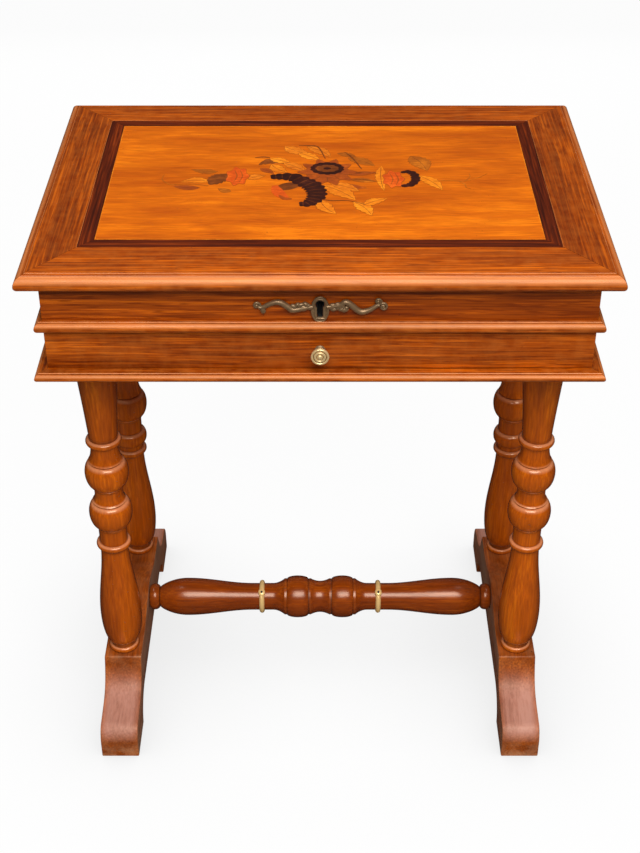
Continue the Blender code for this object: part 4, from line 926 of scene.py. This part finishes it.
beadTop = leg["rearBead"] + leg["rearBeadHalf"]
beadLow = leg["rearBead"] - leg["rearBeadHalf"]
rearNeck = ballFoot(leg["rearBall"])
end = leg["neckEnd"]
rearLeg = legHead(leg["rearRing"], leg["rearBall"], 0.3)
rearLeg += [(neck, height) for height in (rearNeck, rearNeck - end, beadTop + end, beadTop)]
rearLeg += swell(beadTop, beadLow, neck, leg["rearBeadRadius"], 18)
rearLeg += [(neck, height) for height in (beadLow - end, vaseRingTop + end)]

for row, signY, pattern in (("Front", -1, frontLeg), ("Rear", 1, rearLeg)):
    for hand, signX in hands:
        shape = turnedShape(pattern + legTail)
        moved(shape, (signX * leg["placeX"], signY * leg["placeY"], 0))
        newPiece("leg" + row + hand, shape, "leg", "table",
                 ["leg_" + row.lower() + "_" + hand.lower()], gain=2.6)
print("legs done")


# feet: sledge outline with hollowed toes, blocks under the legs, a hump at the stretcher and an arch below
foot = {
    "place": 0.248, "half": 0.2035, "width": 0.046, "toe": 0.043, "toeLength": 0.0845, "toeRise": 0.009,
    "toeSweep": 5.6, "noseFace": 0.02, "noseLength": 0.017, "block": 0.088, "hump": 0.104, "humpHalf": 0.075,
    "pad": 0.058, "arch": 0.034, "archRound": 0.04, "soften": 0.0013, "worn": 0.001,
}


def footOutline():
    half, toe, block, worn = foot["half"], foot["toe"], foot["block"], foot["worn"]
    blockAt = half - foot["toeLength"]
    noseAt = half - foot["noseLength"]
    sweep = block - toe - foot["toeRise"]
    edge = [(half, 0)]
    edge += arcPoints((noseAt, foot["noseFace"]), (foot["noseLength"], toe - foot["noseFace"]), 0, 90, 14)
    for step in range(1, 28):  # stops short of the block, whose arris is worn
        share = math.sin(math.pi / 2 * step / 30)
        rise = foot["toeRise"] * share + sweep * share ** foot["toeSweep"]
        edge.append((noseAt + (blockAt - noseAt) * share, toe + rise))
    edge += [(blockAt + worn / 3, block - worn), (blockAt - worn, block), (blockAt - 4 * worn, block)]
    for step in range(25):
        share = step / 24
        rise = (foot["hump"] - block) * (0.5 - 0.5 * math.cos(math.pi * share))
        edge.append((foot["humpHalf"] * (1 - share), block + rise))
    archEnd = half - foot["pad"] - foot["archRound"]
    under = arcPoints((archEnd, 0), (foot["archRound"], foot["arch"]), 90, 0, 18)
    outline = edge + [(-y, z) for y, z in reversed(edge[:-1])]
    return outline + [(-y, z) for y, z in reversed(under)] + under


for hand, sign in hands:
    shape = bmesh.new()
    prism(shape, footOutline(), foot["width"])
    sides = [face for face in shape.faces if len(face.verts) > 4]
    rims = list({edge for face in sides for edge in face.edges})
    bmesh.ops.recalc_face_normals(shape, faces=shape.faces)
    softened(shape, rims, foot["soften"])
    place = Matrix.Translation((sign * foot["place"] - foot["width"] / 2, 0, 0))
    placed(shape, place @ Matrix.Rotation(math.pi / 2, 4, "Z") @ upright)
    newPiece("foot" + hand, shape, "foot", "table", ["foot_" + hand.lower()], gain=1.6, crease=20)
print("feet done")


# stretcher: turned alike on both sides of its middle
stretcher = {
    "height": 0.083, "middle": 0.0205, "middleHalf": 0.0125, "fillet": 0.003, "filletRadius": 0.0239,
    "bead": 0.0276, "beadEnd": 0.0435, "coveEnd": 0.064, "seat": 0.0176, "vaseStart": 0.088, "vase": 0.0245,
    "vaseShare": 0.7, "vaseEnd": 0.2117, "neck": 0.0128, "collar": 0.0172, "end": 0.2247,
    "beadSink": 0.0004, "beadStep": 0.0003, "bluntness": 0.85,
}
middleHalf, fillet, rim = (stretcher[key] for key in ("middleHalf", "fillet", "filletRadius"))
beadEnd, vaseEnd, seatRadius, endRadius = (stretcher[key] for key in ("beadEnd", "vaseEnd", "seat", "neck"))
half = cove(-middleHalf, middleHalf, rim, stretcher["middle"], rim, 0.5, 24)[12:]
half += swell(middleHalf + fillet, beadEnd, rim - stretcher["beadSink"], stretcher["bead"], 24)
half += [(rim, beadEnd + stretcher["beadStep"])]
half += cove(beadEnd + fillet, stretcher["coveEnd"], rim, seatRadius, seatRadius, 0.9, 18)
half += vase(stretcher["vaseStart"], vaseEnd, seatRadius, stretcher["vase"], endRadius, stretcher["vaseShare"], 44,
             stretcher["bluntness"])
half += swell(vaseEnd, stretcher["end"], endRadius, stretcher["collar"], 14) + [(0, stretcher["end"])]
shape = turnedShape(half[::-1] + [(radius, -along) for radius, along in half[1:]])
alongX = Matrix.Translation((0, 0, stretcher["height"])) @ Matrix.Rotation(math.pi / 2, 4, "Y")
placed(shape, alongX)
newPiece("turnedStretcher", shape, "stretcher", "table", ["stretcher"], gain=3.2)

# gilt rings on the stretcher, each with an oval boss that has a dark eye
ring = {
    "place": 0.0765, "inner": 0.0179, "outer": 0.0217, "half": 0.0034, "lean": 56,
    "boss": (0.0045, 0.0056, 0.0024), "bossSink": 0.001, "eye": (0.0015, 0.0017, 0.0006),
}
section = arcPoints((ring["inner"], 0), (ring["outer"] - ring["inner"], ring["half"]), 90, -90, 16)
lean = math.radians(ring["lean"])


def onRing(reach):  # a place this far out from the stretcher's middle, at the boss's lean
    spot = Vector((0, -math.cos(lean) * reach, stretcher["height"] + math.sin(lean) * reach))
    return Matrix.Translation(spot) @ Matrix.Rotation(math.pi / 2 - lean, 4, "X")


bossAt = ring["outer"] - ring["bossSink"]
for hand, sign in hands:
    shape = turnedShape(section + section[:1])
    placed(shape, alongX)
    placed(shape, onRing(bossAt), ballInto(shape, ring["boss"], 24, 14))
    moved(shape, (sign * ring["place"], 0, 0))
    newPiece("stretcherRing" + hand, shape, "gilt", "table", ["stretcher_ring_" + hand.lower()])
    shape = bmesh.new()
    placed(shape, onRing(bossAt + ring["boss"][2]), ballInto(shape, ring["eye"], 16, 10))
    moved(shape, (sign * ring["place"], 0, 0))
    newPiece("ringEye" + hand, shape, "blackIron", "table")
print("stretcher and rings done")


# knob: a button with a raised rim, an inner ring and a centre stud in its dished front, on a neck of dark bronze, a
# real part whose darkness also stands in for the shade above the button (painted shade)
knob = {
    "height": 0.5914, "face": -0.1963, "stand": 0.016, "radius": 0.0094, "back": 0.0034, "backStart": 0.004,
    "rimShort": 0.0003, "stud": (0.0028, 0.0016), "dish": ((0.0031, 0.0021), (0.0037, 0.0021)),
    "ringAt": (0.0049, 0.0019), "ring": (0.0012, 0.0009), "gutter": ((0.0064, 0.0028), (0.0071, 0.0028)),
    "rimAt": (0.0082, 0.0026), "rim": 0.0012, "neck": 0.004, "neckTop": 0.0006, "neckLow": 0.003,
    "foot": 0.0056, "footTop": 0.001,
}
stand, stemRadius, baseRadius = knob["stand"], knob["neck"], knob["foot"]
backAt = stand - knob["backStart"]


def onFace(spot):  # the knob's front is measured back from its stand
    return (spot[0], stand - spot[1])


profile = arcPoints((0, stand - knob["stud"][1]), knob["stud"], 90, 0, 8) + [onFace(spot) for spot in knob["dish"]]
profile += arcPoints(onFace(knob["ringAt"]), knob["ring"], 180, 0, 8) + [onFace(spot) for spot in knob["gutter"]]
profile += arcPoints(onFace(knob["rimAt"]), (knob["rim"], knob["rim"]), 150, -60, 12)
backReach = knob["radius"] - stemRadius - knob["rimShort"]
profile += arcPoints((stemRadius, backAt), (backReach, knob["back"]), 0, -90, 12)
profile += [(0, backAt - knob["back"])]
neckTop = backAt - knob["back"] + knob["neckTop"]
neckProfile = [(0, neckTop), (stemRadius, neckTop), (stemRadius, knob["neckLow"])]
neckProfile += [(baseRadius, knob["footTop"]), (baseRadius, 0), (0, 0)]
button, stem = turnedShape(profile, 64), turnedShape(neckProfile, 48)
for shape in (button, stem):
    placed(shape, Matrix.Translation((0, knob["face"], knob["height"])) @ upright)
newPiece("drawerKnob", button, "brass", "drawer", ["knob"])
# painted shade: the neck's dark bronze reads as the shadow above the button
newPiece("knobNeck", stem, "bronze", "drawer")
print("knob done")


# escutcheon: an upright keyhole plate, two scrolled arms with leaf clusters and curled ends
escutcheon = {
    "centre": (0, -0.1963, 0.6411), "halfWidth": 0.0094, "halfHeight": 0.0152, "thickness": 0.002, "lip": 0.0007,
    "keyRise": 0.0045, "keyRadius": 0.0047, "slotHalf": 0.0031, "slotLength": 0.014, "plateDrop": 0.0012,
    "sleeve": 0.0078, "sleeveRise": 0.0012, "sleeveOuter": -0.0005, "sleeveInner": -0.0008, "sleeveLip": 0.0001,
    "beadGrow": 0.0016, "beadSink": 0.0001, "bead": 0.0009, "rimInset": 0.0013, "rimSink": 0.0002, "rim": 0.0011,
    "armRise": 0.0006, "armSwell": 1.16, "curl": 0.0014, "curlTurn": 420, "curlClose": 0.72, "curlRise": 0.0007,
    "boss": 0.0018, "bossRise": 0.0012, "lobeSwell": (1.12, 1.18, 0.0023), "lobeRise": 0.0004,
}
escutcheonArms = [  # (x, z, radius) from the plate's centre
    [(-0.007, 0.002, 0.0019), (-0.014, 0.0012, 0.002), (-0.0227, -0.001, 0.0024), (-0.0282, -0.001, 0.0028),
     (-0.0335, 0.003, 0.0027), (-0.0384, 0.0066, 0.0026), (-0.0427, 0.0076, 0.0025), (-0.0475, 0.0066, 0.0023),
     (-0.052, 0.0044, 0.0022), (-0.0575, 0.0015, 0.0019), (-0.0612, 0.0016, 0.0017)],
    [(0.007, 0.002, 0.0019), (0.014, 0.0028, 0.002), (0.0205, 0.0046, 0.0023), (0.0244, 0.0072, 0.0026),
     (0.0276, 0.007, 0.0027), (0.032, 0.0034, 0.0028), (0.037, -0.0014, 0.0028), (0.041, -0.0034, 0.0027),
     (0.0455, -0.003, 0.0025), (0.051, -0.0005, 0.0022), (0.0566, 0.0034, 0.0019), (0.0596, 0.004, 0.0017)],
]
escutcheonCurls = [  # centre, outer radius and start of each curl, in degrees
    ((-0.0632, 0.004), 0.0039, -60, 1), ((0.058, 0.0086), 0.0036, -100, 1), ((0.0632, 0.0024), 0.0041, 120, -1),
]
escutcheonLobes = [  # place, size and lean of the leaf lobes and drops
    ((-0.0105, 0.001), (0.003, 0.002), 20), ((-0.014, 0.0052), (0.0034, 0.0019), -25),
    ((-0.016, -0.0006), (0.0036, 0.0018), 12), ((-0.0195, 0.0042), (0.0038, 0.002), 18),
    ((-0.023, 0.0046), (0.0028, 0.0016), 42), ((-0.0236, -0.001), (0.003, 0.0016), -20),
    ((0.0106, 0.0012), (0.003, 0.002), -20), ((0.014, -0.0006), (0.0034, 0.0019), 15),
    ((0.0176, 0.0012), (0.0036, 0.0026), -30), ((0.0215, -0.0006), (0.0034, 0.0022), 10),
    ((0.0224, 0.0026), (0.0032, 0.0018), -35), ((0.0262, 0.001), (0.0024, 0.0018), 30),
    ((-0.057, -0.0018), (0.0026, 0.0036), 12), ((-0.0125, 0.0034), (0.0034, 0.0022), -10),
    ((-0.018, 0.0012), (0.0038, 0.0022), 24), ((-0.0262, 0.0022), (0.0036, 0.0024), -35),
    ((-0.0272, -0.0022), (0.004, 0.0022), 10), ((0.0124, 0.0036), (0.0034, 0.0022), 12),
    ((0.0166, 0.0044), (0.0036, 0.0022), 28), ((0.0196, 0.0024), (0.0038, 0.0022), -12),
    ((0.0246, -0.0012), (0.004, 0.0024), 14),
]


def meshOfCurve(shape, name, splines, closed, **settings):  # adds the solid of a curve, splines of (place, radius)
    curve = bpy.data.curves.new(name, "CURVE")
    setAll(curve, **settings)
    for points in splines:
        spline = curve.splines.new("POLY")
        spline.points.add(len(points) - 1)
        for point, (place, radius) in zip(spline.points, points):
            point.co = (*place, 1)
            point.radius = radius
        spline.use_cyclic_u = closed
    guide = newObject("guide", curve)
    addEvaluated(shape, guide)
    bpy.data.objects.remove(guide, do_unlink=True)


def tubeInto(shape, route):  # round bar through (x, y, z, radius) points
    points = [((x, y, z), radius) for x, y, z, radius in route]
    meshOfCurve(shape, "bar", [points], False, dimensions="3D", bevel_depth=1.0, bevel_resolution=4,
                use_fill_caps=True)


def plateInto(shape, outlines, thickness, lip):
    splines = [[((x, y, 0), 1.0) for x, y in outline] for outline in outlines]
    meshOfCurve(shape, "plate", splines, True, dimensions="2D", fill_mode="BOTH", extrude=thickness / 2 - lip,
                bevel_depth=lip, bevel_resolution=3, offset=-lip)


def keyholeOutline(grow=0.0):
    slot = escutcheon["slotHalf"] + grow
    radius = escutcheon["keyRadius"] + grow
    meet = math.degrees(math.asin(slot / radius))
    head = arcPoints((0, escutcheon["keyRise"]), (radius, radius), 270 + meet, 630 - meet, 24)
    low = escutcheon["keyRise"] - escutcheon["slotLength"] - grow
    return [(slot, low)] + head + [(-slot, low)]


def ovalRim(inset, end, steps):
    radii = (escutcheon["halfWidth"] - inset, escutcheon["halfHeight"] - inset)
    return arcPoints((0, -escutcheon["plateDrop"]), radii, 0, end, steps)


shape = bmesh.new()
halfThick = escutcheon["thickness"] / 2
border = keyholeOutline(escutcheon["beadGrow"])
tubeInto(shape, [(x, y, halfThick - escutcheon["beadSink"], escutcheon["bead"]) for x, y in border + border[:1]])
edge = ovalRim(escutcheon["rimInset"], 360, 60)
tubeInto(shape, [(x, y, halfThick - escutcheon["rimSink"], escutcheon["rim"]) for x, y in edge])
for points in escutcheonArms:
    route = smoothRoute(points, 8)
    tubeInto(shape, [(x, z, escutcheon["armRise"], radius * escutcheon["armSwell"]) for x, z, radius in route])
for (x, z), radius, start, hand in escutcheonCurls:
    curl = []
    for step in range(31):
        share = step / 30
        angle = math.radians(start + hand * escutcheon["curlTurn"] * share)
        away = radius * (1 - escutcheon["curlClose"] * share)
        rise = escutcheon["armRise"] + escutcheon["curlRise"] * share
        curl.append((x + away * math.cos(angle), z + away * math.sin(angle), rise, escutcheon["curl"]))
    tubeInto(shape, curl)
    moved(shape, (x, z, escutcheon["bossRise"]), ballInto(shape, (escutcheon["boss"],) * 3))
longer, wider, thick = escutcheon["lobeSwell"]
for (x, z), (long, wide), leanAngle in escutcheonLobes:
    lobe = ballInto(shape, (long * longer, wide * wider, thick))
    bmesh.ops.rotate(shape, verts=lobe, matrix=Matrix.Rotation(math.radians(leanAngle), 3, "Z"))
    moved(shape, (x, z, escutcheon["lobeRise"]), lobe)
welded(shape)
bmesh.ops.bisect_plane(shape, geom=shape.verts[:] + shape.edges[:] + shape.faces[:], dist=1e-7,
                       plane_co=(0, 0, -halfThick), plane_no=(0, 0, 1), clear_inner=True)
bmesh.ops.holes_fill(shape, edges=[edge for edge in shape.edges if edge.is_boundary], sides=0)
plateInto(shape, [ovalRim(0.0, 354, 59), keyholeOutline()], escutcheon["thickness"], escutcheon["lip"])
moved(shape, (0, 0, halfThick))
onCase = Matrix.Translation(escutcheon["centre"]) @ upright
placed(shape, onCase)
newPiece("escutcheonMount", shape, "bronze", "table", ["escutcheon"], gain=1.6, crease=50)

shape = bmesh.new()  # metal sleeve that lines the keyhole as far as the lock; its black iron also stands in for the shade inside the keyhole (painted shade)
walls = [keyholeOutline(escutcheon[side]) for side in ("sleeveOuter", "sleeveInner")]
plateInto(shape, walls, escutcheon["sleeve"], escutcheon["sleeveLip"])
moved(shape, (0, 0, escutcheon["sleeveRise"] - escutcheon["sleeve"] / 2))
placed(shape, onCase)
newPiece("keyholeSleeve", shape, "blackIron", "table", crease=50)
print("escutcheon done")


# slotted screws in the hinge leaves, the selvage and the strike plate; each slot is a dark bar laid on the head,
# painted shade for the cut slot
screw = {
    "radius": 0.0021, "proud": 0.00007, "sunk": 0.0004, "slot": 0.00045, "slotProud": 0.0001, "slotReach": 1.7,
    "spacing": 0.015, "hingeRow": 0.1902, "lockRow": -0.1838, "firstTurn": 20, "turn": 47,
}
plates = {  # body: level of the plates, the way they face, and the place of the lock's screws
    "table": (0.6692, 1, 0.025),
    "lid": (0.6695, -1, 0.0165),
}
for body, (level, upward, aside) in plates.items():
    places = [(-aside, screw["lockRow"]), (aside, screw["lockRow"])]
    for middle in hinge["places"]:
        places += [(middle + step * screw["spacing"], screw["hingeRow"]) for step in (-1, 0, 1)]
    heads, slots = bmesh.new(), bmesh.new()
    for number, (x, y) in enumerate(places):
        head = discInto(heads, screw["radius"], screw["proud"] + screw["sunk"], 24)
        moved(heads, (x, y, level + upward * (screw["proud"] - screw["sunk"]) / 2), head)
        # painted shade: a dark bar stands for the shadowed slot
        slot = bmesh.ops.create_cube(slots, size=1.0)["verts"]
        size = (screw["slotReach"] * screw["radius"], screw["slot"], screw["slotProud"])
        bmesh.ops.scale(slots, verts=slot, vec=size)
        turn = math.radians(screw["firstTurn"] + screw["turn"] * number)
        bmesh.ops.rotate(slots, verts=slot, matrix=Matrix.Rotation(turn, 3, "Z"))
        moved(slots, (x, y, level + upward * screw["slotProud"] / 2), slot)
    newPiece(body + "Screws", heads, "brass", body)
    newPiece(body + "ScrewSlotShades", slots, "blackIron", body)
print("screws done")


# stage: a pale floor that keeps a soft shadow, painted into its glow from ambient occlusion, and soft studio lamps
stage = {
    "floor": 14.0, "paper": (0.58, 0.58, 0.58), "paperRough": 0.9, "mirrored": 0.04, "glow": 0.94, "glowMost": 1.02,
    "world": 0.06, "shade": 0.26, "shadeReach": 0.2, "backdrop": 0.97,
}
shape = bmesh.new()
bmesh.ops.create_grid(shape, x_segments=1, y_segments=1, size=stage["floor"] / 2)
floor = objectOf("floor", shape)
paper, tree, shader = newMaterial("paleFloor")
path = addNode(tree, "LightPath").outputs
dim = maths(tree, "SUBTRACT", 1.0, times(tree, path["Is Glossy Ray"], 1 - stage["mirrored"]))
fill(tree, shader.inputs, {
    "Base Color": mixed(tree, dim, (0, 0, 0), stage["paper"]), "Roughness": stage["paperRough"],
    "Specular IOR Level": 0.0,
})
# painted shadow: the floor's glow is dimmed where ambient occlusion finds the table close by
hidden = addNode(tree, "AmbientOcclusion", {"Distance": stage["shadeReach"]}, samples=16)
level = spread(tree, hidden.outputs["AO"], 0.0, 1.0, 1 - stage["shade"], stage["glowMost"])
glow = addNode(tree, "Emission", {"Color": (1, 1, 1), "Strength": level})
share = times(tree, path["Is Camera Ray"], stage["glow"])
blend = addNode(tree, "MixShader", {0: share, 1: shader.outputs[0], 2: glow.outputs[0]})
plug(tree, tree.nodes["Material Output"].inputs["Surface"], blend.outputs[0])
floor.data.materials.append(paper)

world = bpy.data.worlds.new("studio")
world.use_nodes = True
tree = world.node_tree
seen = addNode(tree, "LightPath").outputs["Is Camera Ray"]
strength = spread(tree, seen, 0.0, 1.0, stage["world"], stage["backdrop"])
fill(tree, tree.nodes["Background"].inputs, {"Color": (1, 1, 1), "Strength": strength})
bpy.context.scene.world = world

lamps = {  # place, target, width, depth and power in watts
    "front": ((0.25, -1.7, 2.45), (0.0, 0.0, 0.45), 2.0, 1.4, 82.0),
    "overhead": ((0.0, 0.5, 2.7), (0.0, 0.0, 0.4), 2.0, 1.0, 26.0),
    "behind": ((0.0, 2.3, 0.55), (0.0, 0.0, 0.4), 2.2, 0.6, 12.0),
}
for name, (place, target, width, depth, power) in lamps.items():
    lampData = bpy.data.lights.new(name, "AREA")
    setAll(lampData, shape="RECTANGLE", size=width, size_y=depth, energy=power)
    turn = (Vector(target) - Vector(place)).to_track_quat("-Z", "Y").to_euler()
    setAll(newObject(name, lampData), location=place, rotation_euler=turn, visible_glossy=name != "behind")
print("stage and lamps done")
